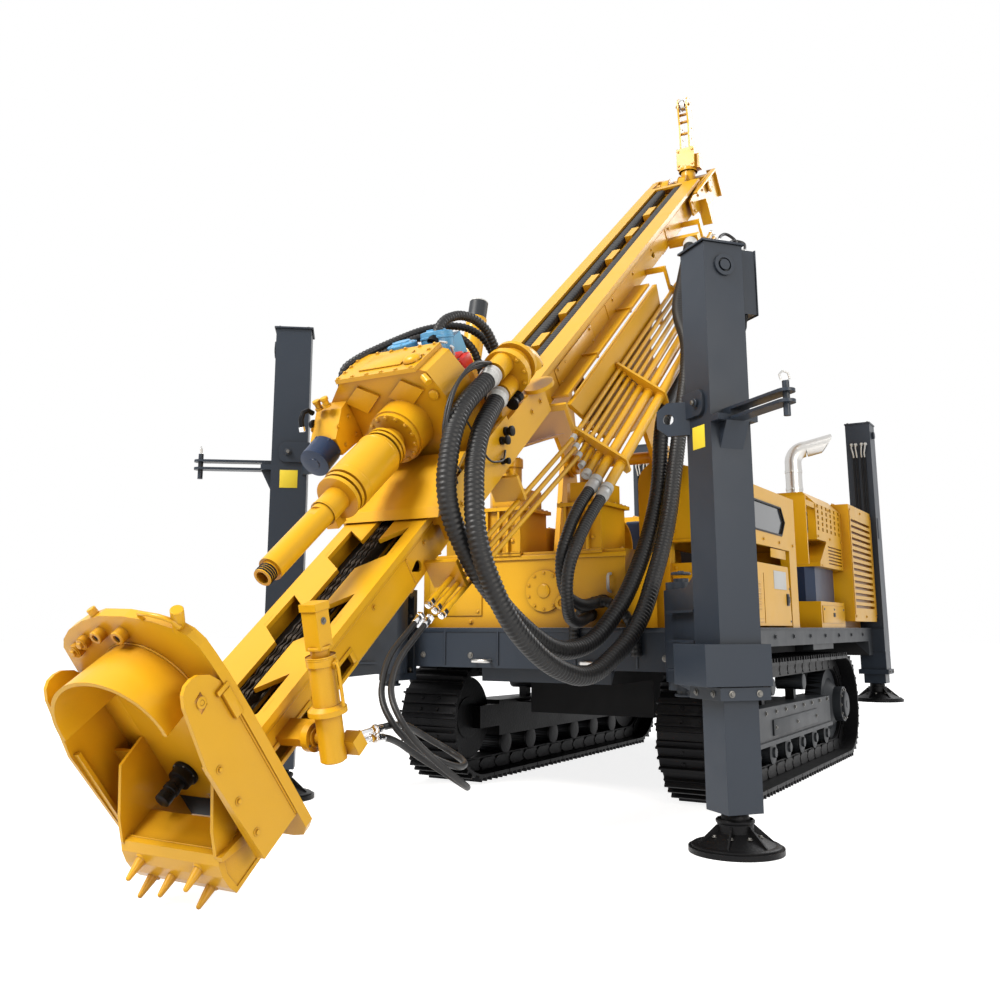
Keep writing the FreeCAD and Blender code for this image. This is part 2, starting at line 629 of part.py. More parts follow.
def side_holes():
    cuts = []
    # u along, n out, radius of the round end
    for u, n, r in ((-800, 2240, 26), (690, 2235, 28), (3000, 2250, 22)):
        drop = rod((-MAST_HALF_X - 20, u, n), (1, 0, 0), r, 2 * MAST_HALF_X + 40)
        point = prism_x([(u - r * 0.8, n - r * 0.6), (u - r * 2.2, n + r * 0.4), (u - r * 0.2, n + r)],
                        -MAST_HALF_X - 20, MAST_HALF_X + 20)
        cuts += [drop, point]
    for u0, u1 in ((-1950, -1700), (-1640, -1400)):
        for x0 in (-MAST_HALF_X - 5, MAST_HALF_X - 20):
            cuts.append(box(x0, x0 + 25, u0, u1, 2200, 2250))
    return cuts


# The upper half carries two ribbed hoses in a wide slot of its face
BAND_U0 = 620.0
BAND_X = (-92.0, 60.0)
BAND_HALF_X = 40.0
BAND_HEIGHT = 53.0
GUIDE_N = MAST_FACE_N - 62.0


def mast():
    shell = prism_y(mast_profile(), MAST_U0, MAST_U1)
    high, deep = MAST_FACE_N + 10, MAST_FACE_N - 90
    wide0 = BAND_X[0] - BAND_HALF_X - 5
    wide1 = BAND_X[1] + BAND_HALF_X + 5
    slot = box(-SLOT_HALF_X, SLOT_HALF_X, MAST_U0 + 60, BAND_U0, deep, high)
    wide = box(wide0, wide1, BAND_U0 - 1, MAST_U1 - 60, deep, high)
    shell = cut_all(shell, [mast_hollow(), slot, wide] + side_holes())
    shell = cut_all(shell, face_windows())
    parts = [
        shell,
        box(-SLOT_HALF_X + 4, SLOT_HALF_X - 4, MAST_U0 + 10, BAND_U0 + 10, GUIDE_N - 18, GUIDE_N),
        box(wide0 - 4, wide1 + 4, BAND_U0, MAST_U1 - 10, GUIDE_N - 18, GUIDE_N),
    ]
    u = BAND_U0 + 150
    while u < MAST_U1 - 300:
        middle = (BAND_X[0] + BAND_X[1]) / 2
        parts.append(box(middle - 30, middle + 30, u, u + 190, GUIDE_N - 5, MAST_FACE_N - 8))
        u += WINDOW_PITCH
    u = MAST_U0 + 450
    while u < MAST_U1 - 300:
        parts.append(box(-MAST_HALF_X + 5, MAST_HALF_X - 5, u, u + 12, MAST_LOW_N + 30, GUIDE_N - 10))
        u += 2 * WINDOW_PITCH
    return to_mast(fuse(parts + hinge_ears() + lift_lugs() + breakout_ear()))


def hose_bands():
    low = GUIDE_N + SEAT_GAP
    high = low + BAND_HEIGHT
    bands = []
    for x in BAND_X:
        w = BAND_HALF_X
        outline = [(x - w, low + 16), (x - w + 14, low), (x + w - 14, low), (x + w, low + 16), (x + w, high - 20),
                   (x + w - 18, high), (x - w + 18, high), (x - w, high - 20)]
        bands.append(prism_y(outline, BAND_U0 + 20, MAST_U1 - 75))
    return to_mast(Part.makeCompound(bands))


def hinge_ears():
    pu, pn = to_mast_frame(TILT_Y, TILT_Z)
    low = MAST_LOW_N
    x0 = CHEEK_X - FREE_GAP - EAR_THICKNESS
    outline = [(pu - 960, low + 40), (pu - 640, low - 380), (pu - 100, low - 600), (pu - 90, pn),
               (pu - 60, pn - 70), (pu + 60, pn - 70), (pu + 95, pn), (pu + 330, low - 430), (pu + 700, low - 330),
               (pu + 800, low + 40)]
    plate = prism_x(outline, x0, x0 + EAR_THICKNESS)
    notch = rod((x0 - 10, pu + 560, low - 330), (1, 0, 0), 190.0, 60.0)
    hole = rod((x0 - 10, pu, pn), (1, 0, 0), TILT_PIN_RADIUS + RUN_GAP, 60.0)
    plate = plate.cut(notch).cut(hole)
    boss = tube((x0 - 30, pu, pn), (1, 0, 0), 72.0, TILT_PIN_RADIUS + RUN_GAP, 32.0)
    webs = [
        box(MAST_HALF_X - 3, x0 + 2, pu - 900, pu + 740, low + 60, low + 76),
        prism_x([(pu - 620, low - 360), (pu - 610, low - 372), (pu - 120, low - 585), (pu - 116, low - 570)], x0 - 70, x0 + 2),
        box(MAST_HALF_X - 3, x0 + 2, pu - 380, pu - 364, low + 50, low + 88),
        box(MAST_HALF_X - 3, x0 + 2, pu + 300, pu + 316, low + 50, low + 88),
    ]
    one = fuse([plate, boss] + webs)
    return [one, mirror_x(one)]


def lift_lugs():
    eu, en = to_mast_frame(*LIFT_EYE)
    low = MAST_LOW_N
    inner = LIFT_X - 32 - FREE_GAP - 20
    outline = [(eu - 70, low + 70), (eu - 70, en - 20), (eu - 35, en - 55), (eu + 35, en - 55), (eu + 70, en - 20), (eu + 70, low + 70)]
    lug = prism_x(outline, inner, inner + 20)
    lug = fuse([lug, box(MAST_HALF_X - 60, inner + 15, eu - 70, eu + 70, low + 46, low + 66)])
    return [lug, mirror_x(lug)]


def breakout_ear():
    u0, n0 = BREAK_PIN
    x1 = BREAK_X - BREAK_BARREL_RADIUS - 20
    ear = fuse([
        box(MAST_HALF_X - 3, x1, u0 - 40, u0 + 60, n0 - 10, n0 + 26),
        box(x1 - 30, x1, u0, u0 + 62, n0 - 44, n0 + 44),
        rod((x1 - 30, u0, n0), (1, 0, 0), 52.0, 30.0),
    ])
    hole = rod((x1 - 60, u0, n0), (1, 0, 0), 22.0 + RUN_GAP, 80.0)
    return [ear.cut(hole)]


def mast_table():
    u1 = MAST_U0 - SEAT_GAP
    u0 = u1 - TABLE_THICKNESS
    outline = [(-200, 2010), (270, 2005), (320, 2015), (352, 2055), (356, 2560), (350, 2720), (342, 2800), (332, 2862),
               (308, 2905), (270, 2932), (180, 2962), (60, 2984), (-65, 2988), (-170, 2964), (-262, 2928), (-320, 2888),
               (-350, 2850), (-356, 2740), (-320, 2600), (-270, 2060)]
    plate = prism_y(outline, u0, u1)
    # The hood is a half tube about the drill axis with a slanted front edge
    hood = cone((0, u0 - 260, DRILL_AXIS_N), (0, 1, 0), 232.0, 206.0, 262.0)
    hood = hood.cut(cone((0, u0 - 261, DRILL_AXIS_N), (0, 1, 0), 218.0, 192.0, 264.0))
    hood = hood.cut(box(-300, 300, u0 - 270, u0 + 10, DRILL_AXIS_N - 300, DRILL_AXIS_N - 12))
    slant = prism_z([(-300, u0 - 262), (300, u0 - 262), (300, u0 - 176), (-300, u0 - 250)], 2500, 3000)
    hood = hood.cut(slant)
    wing = [(u0 + 1, 2120), (u0 - 190, 2122), (u0 - 202, 2530), (u0 - 160, 2752), (u0 - 142, 2788), (u0 - 118, 2804),
            (u0 - 88, 2806), (u0 - 60, 2798), (u0 - 24, 2768), (u0 + 1, 2720)]
    wings = [prism_x(wing, x0, x0 + 16) for x0 in (-344, 328)]
    flanges = [box(x0, x0 + 26, u0 - 190, u0 - 176, 2122, 2530) for x0 in (-330, 304)]
    cheek = [(u0 + 1, 2045), (u0 - 270, 2045), (u0 - 268, 2205), (u0 - 232, 2280), (u0 - 125, 2425), (u0 + 1, 2440)]
    cheeks = [prism_x(cheek, x0, x0 + 14) for x0 in (-232, 224)]
    lip = [(u0 - 60, 2045), (u0 - 276, 2045), (u0 - 287, 2080), (u0 - 289, 2130), (u0 - 280, 2175), (u0 - 262, 2206),
           (u0 - 240, 2206), (u0 - 240, 2198), (u0 - 120, 2202), (u0 - 120, 2186), (u0 - 250, 2180), (u0 - 268, 2130),
           (u0 - 262, 2060), (u0 - 60, 2060)]
    floor = prism_x(lip, -236, 242)
    ribs = [box(x0, x0 + 100, u0 - 60, u0 - 46, 2160, 2420) for x0 in (-336, 236)]
    gusset = prism_x([(u0 - 150, 2150), (u0 - 272, 2190), (u0 - 268, 2206), (u0 - 150, 2190)], 236, 262)
    # Bosses along the upper rim of the plate: x across, n out, radius
    bosses = [rod((x, u0 - 24, n), (0, 1, 0), r, 26.0) for x, n, r in BOSS_TABLE]
    whole = fuse([plate, hood, floor, gusset] + wings + flanges + cheeks + ribs + bosses + foot_teeth())
    through = rod((0, u0 - 10, DRILL_AXIS_N), (0, 1, 0), 115.0, 100.0)
    pocket = box(218, 300, u0 - 10, u1 + 10, 2470, 2560)
    vent = box(-60, 215, u0 - 10, u1 + 10, 2060, 2170)
    slot = prism_x([(u0 - 120, 2690), (u0 - 84, 2700), (u0 - 84, 2752), (u0 - 120, 2742)], 320, 350)
    nozzle = fuse([rod((-100, u0 - 130, 2275), (0, 1, 0), 24.0, 131.0), rod((-100, u0 - 40, 2275), (0, 1, 0), 42.0, 41.0)])
    return to_mast(fuse([cut_all(whole, [through, pocket, vent, slot]), nozzle]))


BOSS_TABLE = ((-262, 2850, 26), (-200, 2885, 24), (-95, 2918, 24), (12, 2916, 26))


def foot_teeth():
    face = MAST_U0 - SEAT_GAP - TABLE_THICKNESS - 280
    teeth = []
    # x across, n out: places on the rounded front of the foot box
    for x, n in ((-150, 2148), (-150, 2062), (-30, 2090), (132, 2148), (140, 2066)):
        root = V(x, face + 12, n)
        tooth = Part.makeCone(21, 9, 88, root, V(-0.05, -0.98, -0.15))
        tip = root + V(-0.05, -0.98, -0.15) * 86.0
        teeth.append(tooth.fuse(Part.makeSphere(9.4, tip)))
    return teeth


def feed_chain():
    low = GUIDE_N + SEAT_GAP
    links = []
    u = MAST_U0 + 70
    k = 0
    while u + 86 < BAND_U0 + 15:
        w = 38.0 if k % 2 else 29.0
        links.append(box(-w, w, u, u + 86, low, low + (50 if k % 2 else 44)))
        u += 86
        k += 1
    return to_mast(fuse(links))


JIB_X = 80.0
JIB_Y = 2050.0
JIB_Z = 4800.0


def crown():
    x0 = RAIL_HALF_X + SEAT_GAP
    high = MAST_FACE_N
    end = MAST_U1 + 380
    outline = [(MAST_U1 - 420, high - 60), (MAST_U1 - 420, high - 190), (MAST_U1 - 260, high - 200), (MAST_U1 - 150, high - 300),
               (MAST_U1 - 60, high - 390), (MAST_U1 + 10, high - 390), (MAST_U1 + 60, high - 250), (end, high - 285), (end, high - 40),
               (MAST_U1 - 70, high - 25)]
    plates = [prism_x(outline, x0, x0 + 16), prism_x(outline, -x0 - 16, -x0)]
    plates += pair_box(x0, x0 + 80, MAST_U1 - 215, MAST_U1 - 200, high - 345, high - 130)
    plates += pair_box(x0 - 40, x0 + 40, end - 16, end, high - 285, high - 40)
    plates += pair_box(x0 + 14, x0 + 50, MAST_U1 - 300, end - 40, high - 50, high - 36)
    inner = box(-x0 - 10, x0 + 10, MAST_U1 + SEAT_GAP, MAST_U1 + 30, high - 225, high - 90)
    shaft = rod((-x0 - 30, MAST_U1 + 120, high - 105), (1, 0, 0), 50.0, 2 * x0 + 60)
    drums = [rod((x - 36, MAST_U1 + 120, high - 105), (1, 0, 0), 118.0, 72.0) for x in BAND_X]
    bar = box(-x0 - 5, x0 + 5, MAST_U1 + 220, MAST_U1 + 290, high - 110, high - 48)
    seat = rod((JIB_X, JIB_Y, JIB_Z - 95), (0, 0, 1), 62.0, 95.0)
    return fuse([to_mast(fuse(plates + [inner, shaft, bar] + drums)), seat])


def jib():
    x, y = JIB_X, JIB_Y
    z = JIB_Z + RUN_GAP
    post = box(x - 78, x + 78, y - 60, y + 60, z + 20, z + 205)
    foot = rod((x, y, z), (0, 0, 1), 75.0, 30.0)
    wing = box(x + 76, x + 110, y - 20, y + 50, z + 20, z + 150)
    outline = [(y - 55, z + 190), (y + 55, z + 190), (y + 30, z + 480), (y + 2, z + 636), (y - 25, z + 664), (y - 62, z + 668),
               (y - 92, z + 640), (y - 92, z + 570), (y - 66, z + 420)]
    cheeks = [prism_x(outline, x + x0, x + x0 + 14) for x0 in (-46, 32)]
    holes = [rod((x - 60, y - 12, z + h), (1, 0, 0), 9.0, 120.0) for h in (300, 400)]
    ties = [rod((x - 40, y - 30, z + h), (1, 0, 0), 12.0, 80.0) for h in (350, 460, 530)]
    sheave = rod((x - 16, y - 50, z + 605), (1, 0, 0), 48.0, 32.0)
    axle = rod((x - 50, y - 50, z + 605), (1, 0, 0), 11.0, 100.0)
    return cut_all(fuse([post, foot, wing, sheave, axle] + cheeks + ties), holes)


# Pipes that run beside the mast
PIPE_TABLE = (
    # x, n, radius, start along the mast
    (352, 2035, 15, 640),
    (370, 1998, 15, 600),
    (390, 1962, 15, 560),
    (412, 1926, 15, 520),
    (444, 1888, 22, 480),
    (492, 1850, 30, 460),
    (556, 1812, 30, 430),
)
PIPE_END = 3950.0
# Low ends of the thin pipes near the foot: x, n
PIPE_LOW = ((308, 2150), (330, 2120), (352, 2092))
PIPE_LOW_U = -900.0


def lean_rod(a, b, radius):
    start, end = V(*a), V(*b)
    return Part.makeCylinder(radius, (end - start).Length, start, end - start)


def mast_pipes():
    pipes = []
    for x, n, r, u0 in PIPE_TABLE:
        pipes.append(rod((x, u0, n), (0, 1, 0), r, PIPE_END - u0))
    for (x, n), (x1, n1, r1, u1) in zip(PIPE_LOW, PIPE_TABLE):
        r = r1 - 2.0
        pipes.append(lean_rod((x, PIPE_LOW_U, n), (x1, u1, n1), r))
        pipes.append(Part.makeSphere(r1, V(x1, u1, n1)))
        pipes.append(lean_rod((x, PIPE_LOW_U - 60, n + 4), (x, PIPE_LOW_U + 10, n), r + 3))
    arms = []
    low_n = PIPE_TABLE[-1][1] - 60
    for u in (700, 1500, 2750, 3750):
        strap = [(338, 2060), (352, 2080), (600, 1840), (600, low_n + 10), (575, low_n)]
        arms.append(prism_y(strap, u, u + 22))
    for u in (700, 2750, 3750):
        arms.append(box(MAST_HALF_X + SEAT_GAP, 352, u, u + 22, MAST_LOW_N + 50, MAST_LOW_N + 88))
        arms.append(box(332, 352, u, u + 22, 2050, MAST_LOW_N + 88))
    for u in (-760, -60):
        arms.append(box(MAST_HALF_X + SEAT_GAP, 375, u, u + 22, MAST_LOW_N - 50, MAST_LOW_N + 88))
    arms.append(box(CHEEK_X - FREE_GAP + SEAT_GAP, 352, 1500, 1522, 1900, 2080))
    arms.append(box(MAST_HALF_X + SEAT_GAP, 435, 3360, 3430, MAST_LOW_N + 20, MAST_LOW_N + 85))
    return to_mast(fuse(pipes + arms))


# Free hoses: x, y, z of the points of each run
HOSE_RADIUS = 47.0
SMALL_HOSE_RADIUS = 32.0
THIN_HOSE_RADIUS = 13.0
HOSE_LONG = ((338, -1566, 2079), (420, -1930, 1780), (500, -2050, 1320), (560, -1880, 980), (600, -1580, 780), (640, -1240, 700),
             (700, -760, 930), (710, -320, 1500), (680, -50, 2010), (665, 200, 2500), (650, 300, 2760), (500, 520, 3060), (380, 1190, 3810))
HOSE_SHORT = ((345, -1638, 2169), (350, -1990, 1900), (370, -2100, 1500), (410, -1930, 1220), (450, -1640, 990), (500, -1320, 830),
              (540, -1000, 860), (590, -700, 1080), (600, -380, 1400), (590, -130, 1760), (570, -20, 2200), (500, 530, 2600), (450, 950, 3040))
HOSE_PIPE_A = ((492, -826, 1716), (492, -1060, 1540), (475, -1210, 1290), (450, -1110, 1110), (420, -850, 1060), (400, -527, 1100))
HOSE_PIPE_B = ((556, -825, 1668), (556, -1070, 1480), (545, -1270, 1230), (505, -1190, 1010), (420, -920, 970), (320, -527, 1025))
HOSE_FOOT_A = ((308, -2170, 1000), (345, -2455, 830), (420, -2590, 680), (530, -2610, 560), (625, -2500, 465), (640, -2360, 425),
               (585, -2240, 430), (480, -2215, 470), (425, -2310, 530), (440, -2440, 580), (470, -2580, 594), (502, -2722, 588))
HOSE_FOOT_B = ((330, -2135, 990), (385, -2440, 820), (470, -2600, 700), (590, -2640, 570), (685, -2560, 455), (705, -2430, 375),
               (640, -2310, 345), (530, -2300, 390), (468, -2400, 460), (468, -2530, 525), (485, -2625, 552), (500, -2715, 560))


def cord(points, radius):
    spots = [V(*p) for p in points]
    runs = [spots[k + 1] - spots[k] for k in range(len(spots) - 1)]
    edges = []
    start = spots[0]
    for k in range(1, len(spots) - 1):
        before, after = V(runs[k - 1]), V(runs[k])
        reach = 0.45 * min(before.Length, after.Length)
        before.normalize()
        after.normalize()
        turn_in = spots[k] - before * reach
        turn_out = spots[k] + after * reach
        half = before.getAngle(after) / 2
        bow = after - before
        bow.normalize()
        arc_radius = reach / math.tan(half)
        centre = spots[k] + bow * (arc_radius / math.cos(half))
        middle = centre - bow * arc_radius
        edges.append(Part.makeLine(start, turn_in))
        edges.append(Part.Arc(turn_in, middle, turn_out).toShape())
        start = turn_out
    edges.append(Part.makeLine(start, spots[-1]))
    path = Part.Wire(edges)
    ring = Part.Wire([Part.makeCircle(radius, spots[0], runs[0])])
    return path.makePipeShell([ring], True, False)


# Rotary head
def head_carriage():
    u0, u1 = HEAD_U - HEAD_FRONT, HEAD_U + HEAD_REAR
    top = MAST_FACE_N + RUN_GAP
    high = top + CARRIAGE_PLATE
    rail_low = MAST_FACE_N - RAIL_THICKNESS
    inner = RAIL_HALF_X + 5
    w = CARRIAGE_HALF_X
    parts = [box(-w, w, u0, u1, top, high)]
    parts += pair_box(inner, w, u0, u1, MAST_FACE_N - 150, high - 5)
    parts += pair_box(MAST_HALF_X + 12, inner + 2, u0, u1, rail_low - 40, rail_low - RUN_GAP)
    middle = HEAD_U + 20
    cheek = [(u0 + 60, high - 2), (u1, high - 2), (u1, high + 60), (u1 - 130, high + 230), (u1 - 330, high + 330),
             (middle + 60, high + 330), (middle + 15, high + 40), (u0 + 60, high + 30)]
    parts.append(prism_x(cheek, -w, -w + 22))
    low_cheek = [(u0 + 60, high - 2), (middle + 150, high - 2), (middle + 150, high + 26), (u0 + 60, high + 26)]
    parts.append(prism_x(low_cheek, w - 22, w))
    apron = prism_x([(u0 - 60, high - 30), (u0, high - 38), (u0, high - 2), (u0 + 330, high + 70), (u0 + 320, high + 86),
                     (u0 - 20, high)], -w, w)
    parts.append(apron)
    return to_mast(fuse(parts))


def head_gearbox():
    u0, u1 = HEAD_U - 220, HEAD_U + 20
    low = MAST_FACE_N + RUN_GAP + CARRIAGE_PLATE + SEAT_GAP
    top = GEARBOX_TOP_N
    left, right = GEARBOX_LEFT_X, GEARBOX_RIGHT_X
    n = DRILL_AXIS_N
    profile = [(-180, low), (180, low), (272, n - 60), (272, n + 120), (right + 20, top - 20), (right - 30, top), (left + 140, top),
               (left, n + 140), (left - 10, n + 20), (left + 60, n - 60), (-278, n - 130)]
    body = prism_y(profile, u0, u1)
    lid = box(left + 130, right - 20, u0 - 25, u1 + 10, top - 4, top + 18)
    neck = rod((0, u0 - 120, n), (0, 1, 0), NECK_RADIUS, 122.0)
    lobe = rod((-95, u0 - 110, n - 35), (0, 1, 0), 60.0, 112.0)
    flange = rod((0, u0 - 148, n), (0, 1, 0), NECK_RADIUS - 8, 30.0)
    box_left = prism_x([(u0 - 190, n + 60), (u0 - 190, n - 30), (u0 + 4, n - 40), (u0 + 4, n + 170), (u0 - 60, n + 160)],
                       left - 30, left + 130)
    rear = prism_x([(u1 - 2, low), (u1 + 250, low), (u1 + 230, n + 60), (u1 + 60, n + 170), (u1 - 2, n + 170)], -240, 150)
    panels = []
    for centre_x in (-190, 70):
        wire = [(centre_x - 105, n + 160), (centre_x, n + 235), (centre_x + 105, n + 170), (centre_x, n + 90)]
        panels.append(prism_y(wire, u0 - 14, u0 + 2))
    socket = rod((0, u0 - 149, n), (0, 1, 0), STEM_RADIUS + RUN_GAP, 110.0)
    whole = fuse([body, lid, neck, lobe, flange, box_left, rear] + panels).cut(socket)
    return to_mast(whole)


def head_motors():
    n = DRILL_AXIS_N
    u1 = HEAD_U + 20
    parts = [
        fuse([rod((-90, u1 + 60, n + 172), (0, 0.2, 1), 78.0, 120.0), rod((-90, u1 + 60, n + 172), (0, 0.2, 1), 95.0, 30.0)]),
        fuse([rod((70, u1 + 110, n + 150), (0, 0.45, 1), 82.0, 150.0), box(0, 140, u1 + 150, u1 + 270, n + 120, n + 240)]),
    ]
    shapes = to_mast(Part.makeCompound(parts))
    return shapes.cut(head_gearbox())


def feed_motor():
    n = DRILL_AXIS_N
    u0 = HEAD_U - 220
    body = rod((GEARBOX_LEFT_X + 50, u0 - 190 - SEAT_GAP, n + 15), (0, -1, -0.1), 76.0, 120.0)
    return to_mast(body.cut(box(-900, 900, u0 - 190 - SEAT_GAP, u0 + 300, n - 500, n + 500)))


# Ends of the two thick hoses at the head: x, n
SPIGOTS = ((335.0, 2600.0), (345.0, 2715.0))
SPIGOT_U = HEAD_U + 128.0
FLANGE_X = 335.0
FLANGE_N = 2655.0


def gooseneck():
    u = HEAD_U + 240
    x, n = FLANGE_X, FLANGE_N
    low = MAST_FACE_N + RUN_GAP + CARRIAGE_PLATE + SEAT_GAP
    bend = 110.0
    parts = [
        rod((x, u, n), (0, 1, 0), 125.0, 40.0),
        rod((x, u + 38, n), (0, 1, 0), 92.0, 80.0),
        rod((x, u + 110, n), (0, 1, 0), 118.0, 26.0),
        rod((x, u + 130, n), (0, 1, 0), 60.0, 40.0),
        rod((x, u + 170 + bend, low), (0, 0, 1), 60.0, n - bend - low + 1),
        rod((x, u + 170 + bend, low), (0, 0, 1), 84.0, 22.0),
    ]
    ring = Part.makeTorus(bend, 60.0, V(x, u + 170, n - bend), X_AXIS, 0, 360, 360)
    parts.append(ring.common(box(x - 200, x + 200, u + 170, u + 600, n - bend, n + 200)))
    for sx, sn in SPIGOTS:
        parts.append(rod((sx, SPIGOT_U + 3, sn), (0, 1, 0), 56.0, u - SPIGOT_U))
    web = prism_x([(u - 80, low), (u + 60, n + 60), (u + 140, n + 60), (u + 140, low)], x - 125, x - 62)
    return to_mast(fuse(parts + [web]))


def pipe_stub():
    u, n = HEAD_U + HEAD_REAR - 60, MAST_FACE_N + RUN_GAP + CARRIAGE_PLATE + SEAT_GAP
    saddle_block = box(-170, -30, u - 90, u + 50, n, n + 70)
    pipe = rod((-100, u - 40, n + 60), (0, 0.80, 0.60), 58.0, 430.0)
    collar = rod((-100, u - 40 + 0.80 * 430, n + 60 + 0.60 * 430), (0, 0.80, 0.60), 52.0, 110.0)
    bore = rod((-100, u - 40 + 0.80 * 200, n + 60 + 0.60 * 200), (0, 0.80, 0.60), 38.0, 500.0)
    return to_mast(fuse([saddle_block, pipe, collar]).cut(bore))


def spindle():
    n = DRILL_AXIS_N
    face = HEAD_U - 220 - 148
    # start behind the gearbox face, radius, length
    stations = (
        (-100, STEM_RADIUS, 170),
        (62, 100, 16),
        (90, 100, 16),
        (60, 88, 60),
        (120, SWIVEL_RADIUS - 8, 30),
        (150, SWIVEL_RADIUS, 290),
        (440, SWIVEL_RADIUS - 14, 24),
        (450, SWIVEL_RADIUS - 5, 20),
        (484, SWIVEL_RADIUS - 5, 22),
        (460, 80, 46),
        (506, PIPE_RADIUS + 6, 110),
        (616, PIPE_RADIUS, 400),
        (1016, 39, 55),
    )
    parts = [rod((0, face - s - length, n), (0, 1, 0), r, length) for s, r, length in stations]
    lug = box(-95, -30, face - 545, face - 480, n - 130, n - 60)
    bore = rod((0, face - 1090, n), (0, 1, 0), 27.0, 260.0)
    flat = [box(-80, 80, face - 700, face - 650, n + d, n + d + 30) for d in (PIPE_RADIUS - 8, -PIPE_RADIUS - 22)]
    return to_mast(cut_all(fuse(parts + [lug]), [bore] + flat))


# Breakout cylinder at the foot
def breakout_line():
    du, dn = BREAK_TOP[0] - BREAK_PIN[0], BREAK_TOP[1] - BREAK_PIN[1]
    length = math.hypot(du, dn)
    return du / length, dn / length, length


def along(distance):
    du, dn, length = breakout_line()
    return (BREAK_X, BREAK_PIN[0] + du * distance, BREAK_PIN[1] + dn * distance)


def breakout_barrel():
    du, dn, length = breakout_line()
    axis = (0, du, dn)
    r = BREAK_BARREL_RADIUS
    parts = [
        rod(along(-75), axis, r - 2, 170.0),
        rod(along(90), axis, r + 20, 18.0),
        cone(along(107), axis, r + 20, r + 1, 14.0),
        rod(along(90), axis, r - 2, 200.0),
        rod(along(262), axis, r + 4, 30.0),
        rod((BREAK_X - r - 60, BREAK_PIN[0], BREAK_PIN[1]), (1, 0, 0), 22.0, r + 60.0),
    ]
    port = box(BREAK_X + 20, BREAK_X + r + 36, BREAK_PIN[0] + 5, BREAK_PIN[0] + 62, BREAK_PIN[1] - 80, BREAK_PIN[1] - 18)
    gland = rod(along(22), axis, BREAK_ROD_RADIUS + RUN_GAP, 400.0)
    relief = rod(along(21), axis, BREAK_ROD_RADIUS + 4, 200.0)
    barrel = to_mast(cut_all(fuse(parts + [port]), [gland, relief]))
    # Two stubs lead from the port towards the hoses
    for start, end in (((478, -2800, 572), (500, -2733, 587)), ((476, -2800, 545), (498, -2727, 558))):
        barrel = barrel.fuse(lean_rod(start, end, 10.0))
    return barrel


def breakout_rod():
    du, dn, length = breakout_line()
    shaft = rod(along(40), (0, du, dn), BREAK_ROD_RADIUS, length - 30)
    turn = math.degrees(math.atan2(dn, du))
    head = box(-34, 34, 0, 165, -34, 34)
    band = box(-38, 38, 138, 165, -38, 38)
    head = head.fuse(band).cut(rod((-50, 100, 0), (1, 0, 0), 7.0, 100.0))
    head.rotate(V(0, 0, 0), X_AXIS, turn)
    spot = along(length + 2)
    head.translate(V(*spot))
    return to_mast(fuse([shaft, head]))


# Body on the deck
BODY_Z = DECK_TOP_Z + SEAT_GAP


def canopy_outline(inset):
    x0, x1 = CANOPY_INNER_X + inset, BODY_X - inset
    high, side_high = CANOPY_TOP_Z - inset, CANOPY_SIDE_TOP_Z - inset
    low = CANOPY_PANEL_Z if inset == 0 else CANOPY_PANEL_Z - 20
    bend = 130.0
    arc = []
    for k in range(7):
        a = math.pi - k * math.pi / 12
        arc.append((x0 + bend + bend * math.cos(a), high - bend + bend * math.sin(a)))
    return [(x0, low)] + arc + [(x0 + bend + 60, high), (x1 - 60, side_high), (x1, side_high - 20), (x1, low)]


def canopy():
    y0, y1 = CANOPY_FRONT_Y, CANOPY_REAR_Y
    w = CANOPY_WALL
    upper = prism_y(canopy_outline(0), y0, y1)
    room = prism_y(canopy_outline(w), y0 + w, y1 - w)
    y_mid = y0 + 0.72 * (y1 - y0)
    low, high = CANOPY_PANEL_Z + 90, CANOPY_SIDE_TOP_Z - 110
    pane = [(y0 + 80, low), (y_mid, low), (y_mid + 80, (low + high) / 2), (y_mid, high), (y0 + 80, high)]
    window = prism_x(pane, BODY_X - w - 5, BODY_X + 5)
    upper = cut_all(upper, [room, window])
    legs = [
        box(BODY_X - 60, BODY_X, y1 - 170, y1, BODY_Z, CANOPY_PANEL_Z + 50),
        box(BODY_X - 60, BODY_X, y0, y0 + 50, BODY_Z, CANOPY_PANEL_Z + 50),
        box(CANOPY_INNER_X + 90, CANOPY_INNER_X + 190, y0, y0 + 90, BODY_Z, CANOPY_PANEL_Z + 50),
        box(CANOPY_INNER_X + 10, CANOPY_INNER_X + 80, y1 - 90, y1, BODY_Z, CANOPY_PANEL_Z + 50),
        box(CANOPY_INNER_X + 185, BODY_X - 50, y0 + 20, y0 + 40, BODY_Z, DOOR_TOP_Z - 10),
        box(CANOPY_INNER_X + 75, BODY_X - 50, y1 - 40, y1 - 20, BODY_Z, CANOPY_PANEL_Z + 5),
    ]
    return fuse([upper] + legs + door_pins(1))


HINGE_RADIUS = 12.0
HINGE_PIN = 6.0
DOOR_Y0 = CANOPY_FRONT_Y + 62
DOOR_Y1 = CANOPY_REAR_Y - 190
HINGE_X = BODY_X + HINGE_RADIUS
HINGE_Y = CANOPY_FRONT_Y + 40
HINGE_PLACES = (DECK_TOP_Z + 70, DOOR_TOP_Z - 110)


def door_pins(side):
    parts = []
    for z in HINGE_PLACES:
        parts.append(rod((HINGE_X, HINGE_Y, z - 20), (0, 0, 1), HINGE_PIN, 100.0))
        for z0 in (z - 20, z + 60 + RUN_GAP):
            parts.append(box(BODY_X - 10, HINGE_X + HINGE_RADIUS - 4, HINGE_Y - 8, HINGE_Y + 8, z0, z0 + 20 - RUN_GAP))
    return parts


